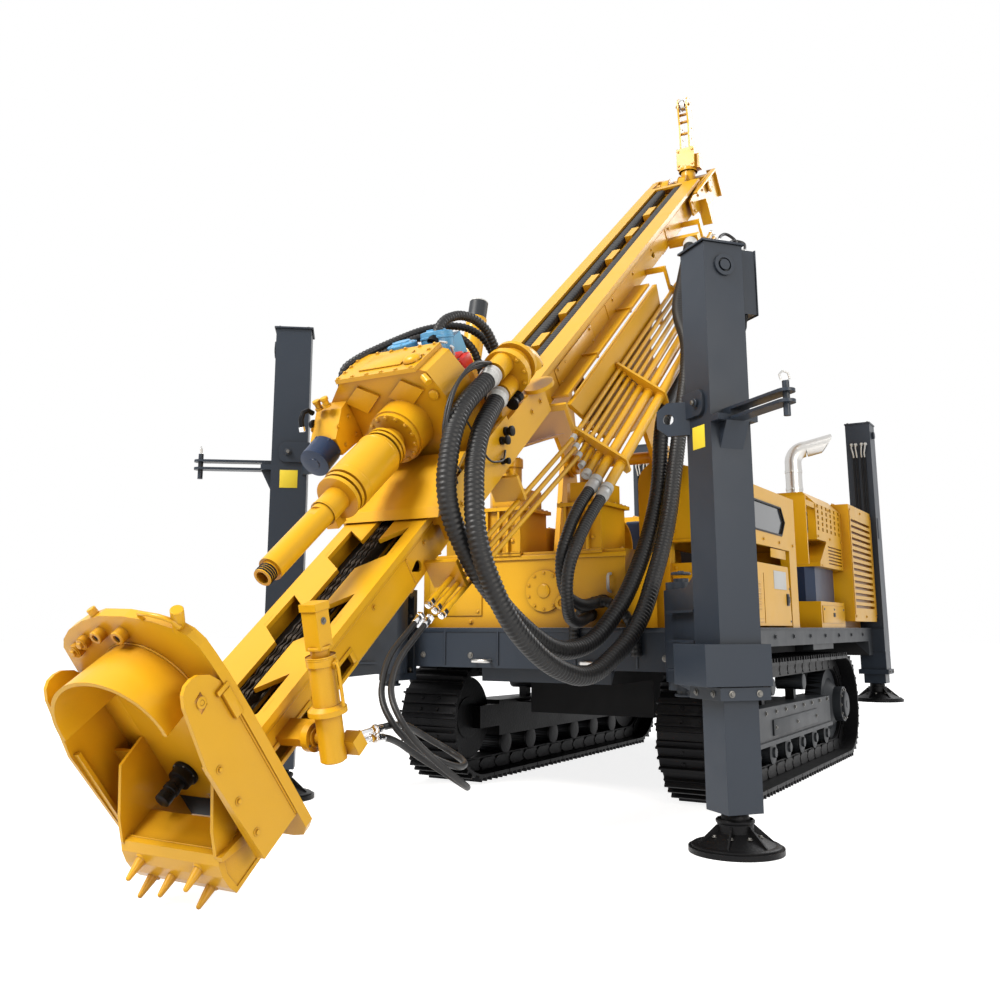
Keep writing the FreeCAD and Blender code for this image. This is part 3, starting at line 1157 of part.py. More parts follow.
def door():
    x0 = BODY_X - DOOR_THICKNESS
    low = DECK_TOP_Z + 12
    leaf = prism_x([(DOOR_Y0, low), (DOOR_Y1, low), (DOOR_Y1 - 40, DOOR_TOP_Z), (DOOR_Y0, DOOR_TOP_Z)], x0 + 2, BODY_X)
    seam = box(BODY_X - 8, BODY_X + 5, DOOR_Y0 + 0.36 * (DOOR_Y1 - DOOR_Y0), DOOR_Y0 + 0.36 * (DOOR_Y1 - DOOR_Y0) + 14, low + 15, DOOR_TOP_Z - 60)
    parts = [leaf.cut(seam)]
    for z in HINGE_PLACES:
        parts.append(rod((HINGE_X, HINGE_Y, z), (0, 0, 1), HINGE_RADIUS, 60.0))
        parts.append(box(BODY_X - 1, BODY_X + 8, HINGE_Y, DOOR_Y0 + 60, z, z + 60))
    holes = [rod((HINGE_X, HINGE_Y, z - 5), (0, 0, 1), HINGE_PIN + RUN_GAP, 70.0) for z in HINGE_PLACES]
    clear = [box(BODY_X - 40, BODY_X + RUN_GAP, HINGE_Y - 30, DOOR_Y0 - 1, z - 5, z + 65) for z in HINGE_PLACES]
    return cut_all(fuse(parts), holes + clear)


def window_pane():
    y0, y1 = CANOPY_FRONT_Y, CANOPY_REAR_Y
    y_mid = y0 + 0.72 * (y1 - y0)
    low, high = CANOPY_PANEL_Z + 90, CANOPY_SIDE_TOP_Z - 110
    g = SEAT_GAP
    pane = [(y0 + 80 + g, low + g), (y_mid, low + g), (y_mid + 80 - g, (low + high) / 2), (y_mid, high - g), (y0 + 80 + g, high - g)]
    return prism_x(pane, BODY_X - CANOPY_WALL + 4, BODY_X - 8)


def left_tank():
    x0, x1 = -BODY_X, -CANOPY_INNER_X - 30
    y0, y1 = CANOPY_FRONT_Y + 20, CANOPY_REAR_Y + 300
    body = prism_y([(x0, BODY_Z), (x1, BODY_Z), (x1, 1620), (x0 + 80, 1620), (x0, 1540)], y0, y1)
    straps = [box(x0 - 6, x1, y, y + 50, BODY_Z, 1626) for y in (y0 + 250, y1 - 300)]
    cap = rod((x0 + 220, y0 + 180, 1610), (0, 0, 1), 55.0, 60.0)
    lid = box(x0 + 200, x1 - 60, y0 + 500, y1 - 420, 1600, 1640)
    return fuse([body, cap, lid] + straps)


def engine():
    h = ENGINE_HALF_X
    return fuse([
        box(-h, h, TILT_Y + 400, RADIATOR_FRONT_Y - 60, BODY_Z, ENGINE_TOP_Z),
        box(-h + 120, h - 120, TILT_Y + 600, RADIATOR_FRONT_Y - 300, ENGINE_TOP_Z - 10, ENGINE_TOP_Z + 140),
    ])


def radiator():
    x1 = RADIATOR_HALF_X
    y0, y1 = RADIATOR_FRONT_Y, DECK_REAR_Y - 30
    z0, z1 = DECK_TOP_Z + 50, RADIATOR_TOP_Z
    shell = box(-x1, x1, y0, y1, z0, z1)
    cuts = []
    count = 15
    step = (z1 - z0 - 190) / count
    for k in range(count):
        z = z0 + 105 + k * step
        for x0 in (-x1 - 5, x1 - 30):
            cuts.append(box(x0, x0 + 35, y0 + 70, y1 - 50, z, z + step * 0.45))
    foot = box(-BODY_X + 60, BODY_X - 60, y0 + 60, y1 - 60, BODY_Z, z0 + 5)
    rear = box(-x1 + 250, x1 - 250, y1 - 5, y1 + 20, z0 + 120, z1 - 120)
    return fuse([cut_all(shell, cuts), foot, rear])


def side_boxes():
    y0, y1 = GUARD_FRONT_Y, RADIATOR_FRONT_Y - SEAT_GAP
    z1 = DECK_TOP_Z + 190
    right = box(BODY_X - 240, BODY_X, y0, y1 - 60, BODY_Z, z1)
    left = box(-BODY_X, -BODY_X + 420, y0, y1 - 60, BODY_Z, z1 + 260)
    return Part.makeCompound([right, left])


def hydraulic_tank():
    y0 = GUARD_FRONT_Y + 60
    x0, x1 = 560, BODY_X - 60
    z0 = DECK_TOP_Z + 190 + SEAT_GAP
    return prism_z([(x0, y0), (x1 - 60, y0), (x1, y0 + 60), (x1, RADIATOR_FRONT_Y - 120), (x0, RADIATOR_FRONT_Y - 120)], z0, 1395)


def guard_box():
    y0, y1 = GUARD_FRONT_Y, RADIATOR_FRONT_Y - SEAT_GAP
    low, high = GUARD_BOTTOM_Z, GUARD_TOP_Z
    x0, x1 = 480, BODY_X
    outline = [(x0, low), (x1, low), (x1, high - 90), (x1 - 90, high), (x0 + 40, high), (x0, high - 40)]
    inside = [(x0 + 14, low + 14), (x1 - 14, low + 14), (x1 - 14, high - 96), (x1 - 96, high - 14), (x0 + 46, high - 14), (x0 + 14, high - 46)]
    shell = prism_y(outline, y0, y1).cut(prism_y(inside, y0 + 16, y1 - 16))
    mouth = fuse([box(x0 + 60, x1 - 60, y0 - 5, y0 + 20, low + 50, high - 150), rod(((x0 + x1) / 2, y0 - 5, high - 240), (0, 1, 0), 190.0, 25.0)])
    mouth = mouth.common(box(x0 + 30, x1 - 30, y0 - 5, y0 + 20, low + 30, high - 30))
    cuts = [mouth]
    rows, columns = 5, 6
    for r in range(rows):
        for c in range(columns):
            y = y0 + 70 + c * (y1 - y0 - 160) / (columns - 1)
            z = low + 70 + r * 42
            cuts.append(box(x1 - 20, x1 + 5, y - 22, y + 22, z, z + 26))
    louvre_low = low - 195
    sill = [(y0 + 280, low - 10), (y0 + 60, louvre_low + 30), (y0 + 60, louvre_low), (y1, louvre_low), (y1, low + 5), (y0 + 280, low + 5)]
    sill_box = prism_x(sill, x0 + 60, x1)
    for k in range(6):
        z = louvre_low + 28 + k * 25
        cuts.append(box(x1 - 14, x1 + 5, y0 + 330, y1 - 50, z, z + 11))
    bracket = box(x1 - 140, x1 - 4, y0 - 270, y0 - 250, 1395, high - 60)
    tie = box(x1 - 30, x1 - 4, y0 - 255, y0 + 10, high - 130, high - 90)
    whole = fuse([shell, sill_box, bracket, tie])
    return cut_all(whole, cuts)


def air_cleaner():
    x = (480 + BODY_X) / 2 + 20
    y0 = GUARD_FRONT_Y + 40
    z = GUARD_BOTTOM_Z + 14 + SEAT_GAP + 142
    return fuse([rod((x, y0, z), (0, 1, 0), 142.0, 420.0), rod((x, y0 - 25, z), (0, 1, 0), 120.0, 30.0), rod((x, y0 + 60, z), (0, 1, 0), 148.0 - 6.2, 20.0)])


def exhaust():
    x, y, r = EXHAUST_X, EXHAUST_Y, EXHAUST_RADIUS
    z0 = GUARD_TOP_Z + SEAT_GAP
    up = 300.0
    turn = 105.0
    heading = 15.0
    rise = 14.0
    riser = rod((0, 0, 0), (0, 0, 1), r, up)
    ring = Part.makeTorus(turn, r, V(turn, 0, up), Y_AXIS, 0, 360, 360)
    quarter = ring.common(box(-200, turn, -200, 200, up, up + 400))
    outlet = rod((turn - 2, 0, up + turn), (1, 0, 0), r, 215.0)
    outlet.rotate(V(turn, 0, up + turn), Y_AXIS, -rise)
    slash = box(0, 300, -200, 200, -300, 300)
    slash.rotate(V(0, 0, 0), Y_AXIS, 34.0)
    slash.translate(V(turn + 150, 0, up + turn + 10))
    base = rod((0, 0, 0), (0, 0, 1), r + 14, 18.0)
    solid = fuse([base, riser, quarter, outlet]).cut(slash)
    inner = rod((turn + 40, 0, up + turn), (1, 0, 0), r - 6, 300.0)
    inner.rotate(V(turn, 0, up + turn), Y_AXIS, -rise)
    solid = solid.cut(inner)
    solid.rotate(V(0, 0, 0), Z_AXIS, heading)
    solid.translate(V(x, y, z0))
    return solid


save("chassis", chassis())
for label, side in (("right", 1), ("left", -1)):
    save("track_" + label, track(side))
    save("track_wheels_" + label, track_wheels(side))
    save("track_frame_" + label, track_frame(side))
    save("swing_leg_" + label, swing_leg(side))
    save("front_inner_leg_" + label, front_inner(side))
    save("rear_inner_leg_" + label, rear_inner(side))
    save("lift_barrel_" + label, lift_barrel(side))
    save("lift_rod_" + label, lift_rod(side))
save("rear_leg_tubes", rear_leg_tubes())
save("tower", tower())
save("mast", mast())
save("mast_table", mast_table())
save("feed_chain", feed_chain())
save("hose_bands", hose_bands())
save("mast_pipes", mast_pipes())
save("crown", crown())
save("jib", jib())
save("head_carriage", head_carriage())
save("head_gearbox", head_gearbox())
save("head_motors", Part.makeCompound([head_motors(), feed_motor()]))
save("head_pipes", Part.makeCompound([gooseneck(), pipe_stub()]))
save("spindle", spindle())
save("hose_long", cord(HOSE_LONG, HOSE_RADIUS))
save("hose_short", cord(HOSE_SHORT, HOSE_RADIUS))
save("hose_pipe_a", cord(HOSE_PIPE_A, SMALL_HOSE_RADIUS))
save("hose_pipe_b", cord(HOSE_PIPE_B, SMALL_HOSE_RADIUS))
save("hose_foot_a", cord(HOSE_FOOT_A, THIN_HOSE_RADIUS))
save("hose_foot_b", cord(HOSE_FOOT_B, THIN_HOSE_RADIUS))
save("breakout_barrel", breakout_barrel())
save("breakout_rod", breakout_rod())
save("canopy", canopy())
save("window_pane", window_pane())
save("door_right", door())
save("left_tank", left_tank())
save("engine", engine())
save("radiator", radiator())
save("side_boxes", Part.makeCompound([side_boxes(), hydraulic_tank()]))
save("guard_box", guard_box())
save("air_cleaner", air_cleaner())
save("exhaust", exhaust())
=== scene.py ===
import bmesh
import bpy
import math
from mathutils import Matrix, Vector


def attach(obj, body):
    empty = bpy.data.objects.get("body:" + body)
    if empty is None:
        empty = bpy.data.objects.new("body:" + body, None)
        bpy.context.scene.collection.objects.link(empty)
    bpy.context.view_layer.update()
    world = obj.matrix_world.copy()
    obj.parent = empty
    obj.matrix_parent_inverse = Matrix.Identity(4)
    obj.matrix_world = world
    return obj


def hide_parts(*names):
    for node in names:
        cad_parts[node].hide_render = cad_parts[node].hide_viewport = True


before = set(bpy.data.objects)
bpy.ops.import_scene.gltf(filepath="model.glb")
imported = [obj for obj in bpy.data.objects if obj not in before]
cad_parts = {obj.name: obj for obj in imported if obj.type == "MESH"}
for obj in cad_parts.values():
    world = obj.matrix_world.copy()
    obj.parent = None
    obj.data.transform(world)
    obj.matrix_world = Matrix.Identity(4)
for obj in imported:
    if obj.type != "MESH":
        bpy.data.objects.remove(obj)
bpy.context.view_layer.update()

# x across, u or y along, n or z out; the same letters as in the construction
X_DIR, U_AXIS, N_AXIS = (1, 0, 0), (0, 1, 0), (0, 0, 1)
LEFT, FRONT, DOWN = (-1, 0, 0), (0, -1, 0), (0, 0, -1)

# The two directions of a circle around each axis
PLANES = {X_DIR: (U_AXIS, N_AXIS), LEFT: (U_AXIS, N_AXIS), U_AXIS: (X_DIR, N_AXIS), FRONT: (X_DIR, N_AXIS),
          N_AXIS: (X_DIR, U_AXIS)}

# Metres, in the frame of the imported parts
SHIFT = Matrix.Translation((0, -0.107, 0))
TILT = math.radians(39.5)
MAST = SHIFT @ Matrix.Rotation(TILT, 4, "X")
FLIP = Matrix.Scale(-1, 4, X_DIR)
LEG = SHIFT @ Matrix.Translation((1.33, -1.235, 0)) @ Matrix.Rotation(math.radians(-39), 4, "Z")
LEGS = {"right": LEG, "left": FLIP @ LEG}


# Materials
def material(name, colour, rough=0.4, metal=0.0, coat=0.0, vary=0.05, grain=0.0, grain_scale=60.0, edge=0.0025,
             crease_shade=None):
    m = bpy.data.materials.new(name)
    m.use_nodes = True
    tree = m.node_tree
    nodes, links = tree.nodes, tree.links
    shader = nodes["Principled BSDF"]
    shader.inputs["Metallic"].default_value = metal
    shader.inputs["Coat Weight"].default_value = coat
    shader.inputs["Coat Roughness"].default_value = 0.12
    shader.inputs["Specular IOR Level"].default_value = 0.35
    place = nodes.new("ShaderNodeTexCoord")
    cloud = nodes.new("ShaderNodeTexNoise")
    cloud.inputs["Scale"].default_value = 3.5
    cloud.inputs["Detail"].default_value = 4.0
    links.new(place.outputs["Object"], cloud.inputs["Vector"])
    mix = nodes.new("ShaderNodeMix")
    mix.data_type = "RGBA"
    mix.inputs[6].default_value = [c * (1 - vary) for c in colour] + [1]
    mix.inputs[7].default_value = [min(1, c * (1 + vary)) for c in colour] + [1]
    links.new(cloud.outputs["Fac"], mix.inputs[0])
    colour_out = mix.outputs[2]
    # Painted shade: ambient occlusion darkens the colour towards the given shade colour in creases, corners and between
    # parts
    if crease_shade:
        shade = nodes.new("ShaderNodeAmbientOcclusion")
        shade.samples = 5
        shade.inputs["Distance"].default_value = 0.12
        bend = nodes.new("ShaderNodeMath")
        bend.operation = "POWER"
        bend.inputs[1].default_value = 1.5
        links.new(shade.outputs["AO"], bend.inputs[0])
        dark = nodes.new("ShaderNodeMix")
        dark.data_type = "RGBA"
        dark.inputs[6].default_value = list(crease_shade) + [1]
        links.new(bend.outputs[0], dark.inputs[0])
        links.new(colour_out, dark.inputs[7])
        colour_out = dark.outputs[2]
    links.new(colour_out, shader.inputs["Base Color"])
    speck = nodes.new("ShaderNodeTexNoise")
    speck.inputs["Scale"].default_value = 9.0
    speck.inputs["Detail"].default_value = 6.0
    links.new(place.outputs["Object"], speck.inputs["Vector"])
    span = nodes.new("ShaderNodeMapRange")
    span.inputs["To Min"].default_value = max(0.03, rough - 0.07)
    span.inputs["To Max"].default_value = min(1.0, rough + 0.1)
    links.new(speck.outputs["Fac"], span.inputs["Value"])
    links.new(span.outputs["Result"], shader.inputs["Roughness"])
    normal = None
    if edge > 0:
        edges = nodes.new("ShaderNodeBevel")
        edges.samples = 4
        edges.inputs["Radius"].default_value = edge
        normal = edges.outputs["Normal"]
    if grain > 0:
        fine = nodes.new("ShaderNodeTexNoise")
        fine.inputs["Scale"].default_value = grain_scale
        fine.inputs["Detail"].default_value = 3.0
        links.new(place.outputs["Object"], fine.inputs["Vector"])
        bump = nodes.new("ShaderNodeBump")
        bump.inputs["Strength"].default_value = grain
        bump.inputs["Distance"].default_value = 0.004
        links.new(fine.outputs["Fac"], bump.inputs["Height"])
        if normal:
            links.new(normal, bump.inputs["Normal"])
        normal = bump.outputs["Normal"]
    if normal:
        links.new(normal, shader.inputs["Normal"])
    return m


YELLOW = material("paint_yellow", (0.84, 0.45, 0.012), 0.33, coat=0.1, vary=0.05, grain=0.05, grain_scale=180,
                  crease_shade=(0.3, 0.105, 0.003))
DARK = material("paint_dark", (0.021, 0.03, 0.046), 0.42, coat=0.08, vary=0.08, grain=0.06, grain_scale=140,
                crease_shade=(0.01, 0.013, 0.018))
GREY = material("paint_grey", (0.026, 0.03, 0.036), 0.45, vary=0.08, grain=0.05, grain_scale=140,
                crease_shade=(0.011, 0.013, 0.016))
BLACK = material("track_black", (0.01, 0.01, 0.011), 0.46, metal=0.75, vary=0.25, grain=0.35, grain_scale=70)
CHAIN = material("chain_oiled", (0.05, 0.037, 0.026), 0.36, metal=0.7, vary=0.4, grain=0.6, grain_scale=120, edge=0.001)
RUBBER = material("hose_rubber", (0.016, 0.016, 0.017), 0.42, vary=0.15, grain=0.08, grain_scale=150, edge=0)
BLUE = material("motor_blue", (0.13, 0.42, 0.72), 0.38, coat=0.2, vary=0.06, edge=0.002, crease_shade=(0.02, 0.1, 0.22))
NAVY = material("motor_navy", (0.009, 0.026, 0.075), 0.4, coat=0.15, vary=0.1)
RED = material("paint_red", (0.62, 0.03, 0.022), 0.4, vary=0.05)
STEEL = material("bright_steel", (0.62, 0.61, 0.59), 0.3, metal=1.0, vary=0.06, grain=0.08, grain_scale=200, edge=0.001)
CHROME = material("chrome", (0.83, 0.83, 0.84), 0.09, metal=1.0, vary=0.02, edge=0.001)
WHITE = material("paint_white", (0.66, 0.67, 0.67), 0.38, vary=0.03, crease_shade=(0.4, 0.4, 0.39))
# Near-black used as painted shade where only shade falls: under the deck, in the mast slot, in the ports and below the
# nozzle
SHADE_BLACK = material("painted_shade_black", (0.008, 0.008, 0.009), 0.8, vary=0.2, edge=0)
GLASS = material("tinted_pane", (0.055, 0.062, 0.072), 0.12, coat=0.5, vary=0.05, edge=0)
LABEL = material("blank_label", (0.93, 0.72, 0.05), 0.5, vary=0.02, edge=0)
BOLT = material("bolt_zinc", (0.17, 0.165, 0.155), 0.36, metal=0.9, vary=0.15, edge=0.0008)
SLOTS = {"paint_yellow": "yellow", "paint_dark": "dark", "paint_grey": "grey", "track_black": "black",
         "chain_oiled": "black", "hose_rubber": "rubber", "motor_blue": "blue", "motor_navy": "navy",
         "bright_steel": "steel", "chrome": "chrome", "paint_white": "white", "tinted_pane": "glass",
         "bolt_zinc": "steel", "painted_shade_black": "black", "blank_label": "yellow"}

LOOKS = {"chassis": GREY, "engine": NAVY, "exhaust": STEEL, "air_cleaner": WHITE, "window_pane": GLASS,
         "feed_chain": CHAIN, "hose_bands": RUBBER, "head_motors": BLUE, "spindle": YELLOW}
for name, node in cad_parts.items():
    look = YELLOW
    if name.startswith("track_frame"):
        look = GREY
    elif name.startswith("track_wheels"):
        look = GREY
    elif name.startswith("track"):
        look = BLACK
    elif "leg" in name:
        look = DARK
    elif name.startswith("lift_rod"):
        look = CHROME
    elif name.startswith("hose"):
        look = RUBBER
    look = LOOKS.get(name, look)
    node.data.materials.clear()
    node.data.materials.append(look)


def repaint(name, look, test):
    """Gives another finish, a second paint or painted shade, to the faces of a CAD node whose middle passes the test.
    """
    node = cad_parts[name]
    mesh = node.data
    mesh.materials.append(look)
    index = len(mesh.materials) - 1
    for face in mesh.polygons:
        if test(node.matrix_world @ face.center, face.normal):
            face.material_index = index


def around(centre, a, b, radius, angles):
    """Points on a circle in the plane of the two directions, angles in degrees."""
    centre, a, b = Vector(centre), Vector(a), Vector(b)
    return [centre + a * (radius * math.cos(math.radians(t))) + b * (radius * math.sin(math.radians(t)))
            for t in angles]


def evenly(count, start=0.0):
    return [start + 360.0 * k / count for k in range(count)]


def outward(s, near, far):
    """Low and high x of a block on side s, between two distances from the middle."""
    return (near, far) if s > 0 else (-far, -near)


# Profiles for Piece.lathe: rows of (distance along the axis, radius)
def band(low, high, edge, width):
    """A raised ring with sloping edges."""
    return [(0, low), (edge, high), (width - edge, high), (width, low)]


def disc(radius, side, height, top):
    """A disc whose straight side ends in a sloping edge."""
    return [(0, radius), (side, radius), (height, top)]


# Mesh builder
class Piece:
    def __init__(self, *looks):
        self.bm = bmesh.new()
        self.looks = list(looks)
        self.index = 0

    def use(self, index):
        self.index = index
        return self

    def _faces(self, faces):
        for f in faces:
            f.material_index = self.index

    def rings(self, rings, caps=True):
        rows = [[self.bm.verts.new(p) for p in ring] for ring in rings]
        faces = []
        count = len(rows[0])
        for a, b in zip(rows, rows[1:]):
            for k in range(count):
                j = (k + 1) % count
                faces.append(self.bm.faces.new((a[k], a[j], b[j], b[k])))
        if caps:
            faces.append(self.bm.faces.new(rows[0][::-1]))
            faces.append(self.bm.faces.new(rows[-1]))
        self._faces(faces)

    def lathe(self, start, axis, profile, sides=24, caps=True):
        """Profile rows are (distance along the axis, radius)."""
        axis = Vector(axis).normalized()
        side = axis.orthogonal().normalized()
        up = axis.cross(side)
        rings = []
        for s, r in profile:
            c = Vector(start) + axis * s
            turns = [2 * math.pi * k / sides for k in range(sides)]
            rings.append([c + (side * math.cos(t) + up * math.sin(t)) * r for t in turns])
        self.rings(rings, caps=caps)

    def rod(self, a, b, r, sides=20, chamfer=0.12):
        a, b = Vector(a), Vector(b)
        length = (b - a).length
        c = min(chamfer * r, length * 0.3)
        self.lathe(a, b - a, [(0, r - c), (c, r), (length - c, r), (length, r - c)], sides)

    def pipe(self, points, r, sides=12):
        spots = [Vector(p) for p in points]
        rings = []
        side = None
        for k, p in enumerate(spots):
            ahead = spots[min(k + 1, len(spots) - 1)] - spots[max(k - 1, 0)]
            ahead.normalize()
            if side is None:
                side = ahead.orthogonal().normalized()
            side = (side - ahead * side.dot(ahead)).normalized()
            up = ahead.cross(side)
            radius = r(k) if callable(r) else r
            turns = [2 * math.pi * j / sides for j in range(sides)]
            rings.append([p + (side * math.cos(t) + up * math.sin(t)) * radius for t in turns])
        self.rings(rings)

    def block(self, lo, hi, cut=0.004):
        """A box with chamfered edges, between two corners."""
        lo, hi = Vector(lo), Vector(hi)
        c = min([cut] + [(hi[k] - lo[k]) * 0.4 for k in range(3)])
        made = bmesh.ops.create_cube(self.bm, size=1.0)
        verts = made["verts"]
        centre, span = (lo + hi) / 2, hi - lo
        for v in verts:
            v.co = Vector((v.co.x * span.x, v.co.y * span.y, v.co.z * span.z)) + centre
        edges = list({e for v in verts for e in v.link_edges})
        out = bmesh.ops.bevel(self.bm, geom=edges, offset=c, segments=2, affect="EDGES", profile=0.5)
        self._faces({f for v in out["verts"] for f in v.link_faces})

    def plate(self, outline, thick):
        """Outline is a closed loop of 3D points, thick the vector to its other face."""
        pts = [Vector(p) for p in outline]
        self.rings([pts, [p + Vector(thick) for p in pts]])

    def bolt(self, p, axis, r=0.012, washer=True):
        axis = Vector(axis).normalized()
        p = Vector(p)
        if washer:
            self.lathe(p, axis, disc(r * 1.55, r * 0.22, r * 0.25, r * 1.45), 14)
        self.lathe(p + axis * r * 0.22, axis, disc(r, r * 0.62, r * 0.78, r * 0.84), 6)

    def bolts(self, spots, axis, r=0.012, washer=True):
        for p in spots:
            self.bolt(p, axis, r, washer)

    def circle(self, centre, axis, radius, angles, r, washer=True):
        """Bolts on a circle, their heads along the axis."""
        self.bolts(around(centre, *PLANES[axis], radius, angles), axis, r, washer)

    def weld(self, a, b, r=0.004):
        a, b = Vector(a), Vector(b)
        steps = max(2, int((b - a).length / 0.007))
        self.pipe([a.lerp(b, k / steps) for k in range(steps + 1)], lambda k: r * (1.0 + 0.18 * (k % 2)), 6)

    def done(self, name, body, place=None, stands_for=(), slot=None, angle=38):
        """Turns the mesh into an object that rides on a body of the CAD."""
        bmesh.ops.recalc_face_normals(self.bm, faces=self.bm.faces)
        mesh = bpy.data.meshes.new(name)
        if place is not None:
            bmesh.ops.transform(self.bm, matrix=place, verts=self.bm.verts)
            if place.determinant() < 0:
                bmesh.ops.reverse_faces(self.bm, faces=self.bm.faces)
        self.bm.to_mesh(mesh)
        self.bm.free()
        for look in self.looks:
            mesh.materials.append(look)
        mesh.shade_smooth()
        mesh.set_sharp_from_angle(angle=math.radians(angle))
        piece = bpy.data.objects.new(name, mesh)
        bpy.context.scene.collection.objects.link(piece)
        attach(piece, body)
        if stands_for:
            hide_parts(*stands_for)
        slot = slot or SLOTS.get(self.looks[0].name)
        return piece


# Hoses: the points of the construction, in millimetres
HOSE_POINTS = {
    "hose_long": (
        (338, -1566, 2079), (420, -1930, 1780), (500, -2050, 1320), (560, -1880, 980), (600, -1580, 780),
        (640, -1240, 700), (700, -760, 930), (710, -320, 1500), (680, -50, 2010), (665, 200, 2500), (650, 300, 2760),
        (500, 520, 3060), (380, 1190, 3810)),
    "hose_short": (
        (345, -1638, 2169), (350, -1990, 1900), (370, -2100, 1500), (410, -1930, 1220), (450, -1640, 990),
        (500, -1320, 830), (540, -1000, 860), (590, -700, 1080), (600, -380, 1400), (590, -130, 1760), (570, -20, 2200),
        (500, 530, 2600), (450, 950, 3040)),
    "hose_pipe_a": (
        (492, -826, 1716), (492, -1060, 1540), (475, -1210, 1290), (450, -1110, 1110), (420, -850, 1060),
        (400, -527, 1100)),
    "hose_pipe_b": (
        (556, -825, 1668), (556, -1070, 1480), (545, -1270, 1230), (505, -1190, 1010), (420, -920, 970),
        (320, -527, 1025)),
    "hose_foot_a": (
        (308, -2170, 1000), (345, -2455, 830), (420, -2590, 680), (530, -2610, 560), (625, -2500, 465),
        (640, -2360, 425), (585, -2240, 430), (480, -2215, 470), (425, -2310, 530), (440, -2440, 580),
        (470, -2580, 594), (502, -2722, 588)),
    "hose_foot_b": (
        (330, -2135, 990), (385, -2440, 820), (470, -2600, 700), (590, -2640, 570), (685, -2560, 455),
        (705, -2430, 375), (640, -2310, 345), (530, -2300, 390), (468, -2400, 460), (468, -2530, 525),
        (485, -2625, 552), (500, -2715, 560)),
}


def route(points, step):
    """Straight runs joined by tangent arcs, as even points in metres, with the length."""
    spots = [SHIFT @ (Vector(p) / 1000) for p in points]
    line = [spots[0]]
    for k in range(1, len(spots) - 1):
        before, after = spots[k] - spots[k - 1], spots[k + 1] - spots[k]
        reach = 0.45 * min(before.length, after.length)
        before.normalize()
        after.normalize()
        half = before.angle(after) / 2
        bow = (after - before).normalized()
        radius = reach / math.tan(half)
        centre = spots[k] + bow * (radius / math.cos(half))
        start = spots[k] - before * reach - centre
        end = spots[k] + after * reach - centre
        turn = 2 * half
        for j in range(25):
            t = j / 24
            line.append(centre + (start * math.sin((1 - t) * turn) + end * math.sin(t * turn)) / math.sin(turn))
    line.append(spots[-1])
    total = sum((b - a).length for a, b in zip(line, line[1:]))
    count = max(2, round(total / step))
    even, walked, k = [line[0]], 0.0, 0
    for j in range(1, count):
        goal = total * j / count
        while walked + (line[k + 1] - line[k]).length < goal:
            walked += (line[k + 1] - line[k]).length
            k += 1
        even.append(line[k].lerp(line[k + 1], (goal - walked) / (line[k + 1] - line[k]).length))
    return even + [line[-1]], total


def ribbed(big, small):
    """Radius of each ring of a ribbed hose."""
    return lambda k: (small, big, big, small)[k % 4]


def laid(name, body, points, step, radius, sides, stands_for=()):
    """A hose as a piece, with its even points and its length."""
    even, total = route(points, step)
    hose = Piece(RUBBER)
    hose.pipe(even, radius, sides)
    return hose.done(name, body, stands_for=stands_for, slot="rubber", angle=70), even, total


def mast_mm(points):
    """Points in metres on the mast, as route takes them."""
    return [(SHIFT.inverted() @ MAST @ Vector(p)) * 1000 for p in points]


for name, big, small in (("hose_long", 0.0468, 0.043), ("hose_short", 0.0468, 0.043), ("hose_pipe_a", 0.0318, 0.0288),
                         ("hose_pipe_b", 0.0318, 0.0288)):
    step = 0.0058 if big > 0.04 else 0.0045
    piece, even, total = laid(name + "_ribbed", "mast", HOSE_POINTS[name], step, ribbed(big, small), 16, (name,))
    cuffs = Piece(WHITE, BLACK)
    for spot, ahead in ((even[0], even[8] - even[0]), (even[-1], even[-9] - even[-1])):
        d = ahead.normalized()
        if big < 0.04 and spot is even[-1]:
            cuffs.use(1)
        cuffs.lathe(spot - d * 0.002, d, [(0, small * 0.9), (0.002, big * 1.06), (0.03, big * 1.1), (0.034, big * 1.16),
                                          (0.046, big * 1.16), (0.05, big * 1.08), (0.078, big * 1.05),
                                          (0.082, big * 1.02)], 24)
    ends = cuffs.done(name + "_cuffs", "mast", slot="white")

for name in ("hose_foot_a", "hose_foot_b"):
    piece, even, total = laid(name + "_smooth", "mast", HOSE_POINTS[name], 0.01, 0.0128, 12, (name,))
    # The end of the second hose stays with the mast, clear of the first hose when the cylinder swings
    end_body = "breakout_barrel" if name == "hose_foot_a" else "mast"
    for end, body, spot, ahead in (("start", "mast", even[0], even[3] - even[0]),
                                   ("end", end_body, even[-1], even[-4] - even[-1])):
        cuffs = Piece(CHROME)
        d = ahead.normalized()
        cuffs.lathe(spot - d * 0.003, d, [(0, 0.011), (0.002, 0.0165), (0.018, 0.0165), (0.02, 0.0145), (0.062, 0.015),
                                          (0.066, 0.0135)], 16)
        cuffs.lathe(spot - d * 0.002, d, disc(0.0205, 0.014, 0.016, 0.018), 6)
        cuffs.done(name + "_ferrule_" + end, body, slot="chrome")


# Feed chain: three strands of rollers and plates in the slot
def plate_outline(x, u0, u1, n, r, waist):
    pts = []
    for k in range(13):
        a = math.pi / 2 + math.pi * k / 12
        pts.append((x, u0 + r * math.cos(a), n + r * math.sin(a)))
    pts.append((x, (u0 + u1) / 2, n - waist))
    for k in range(13):
        a = -math.pi / 2 + math.pi * k / 12
        pts.append((x, u1 + r * math.cos(a), n + r * math.sin(a)))
    pts.append((x, (u0 + u1) / 2, n + waist))
    return pts


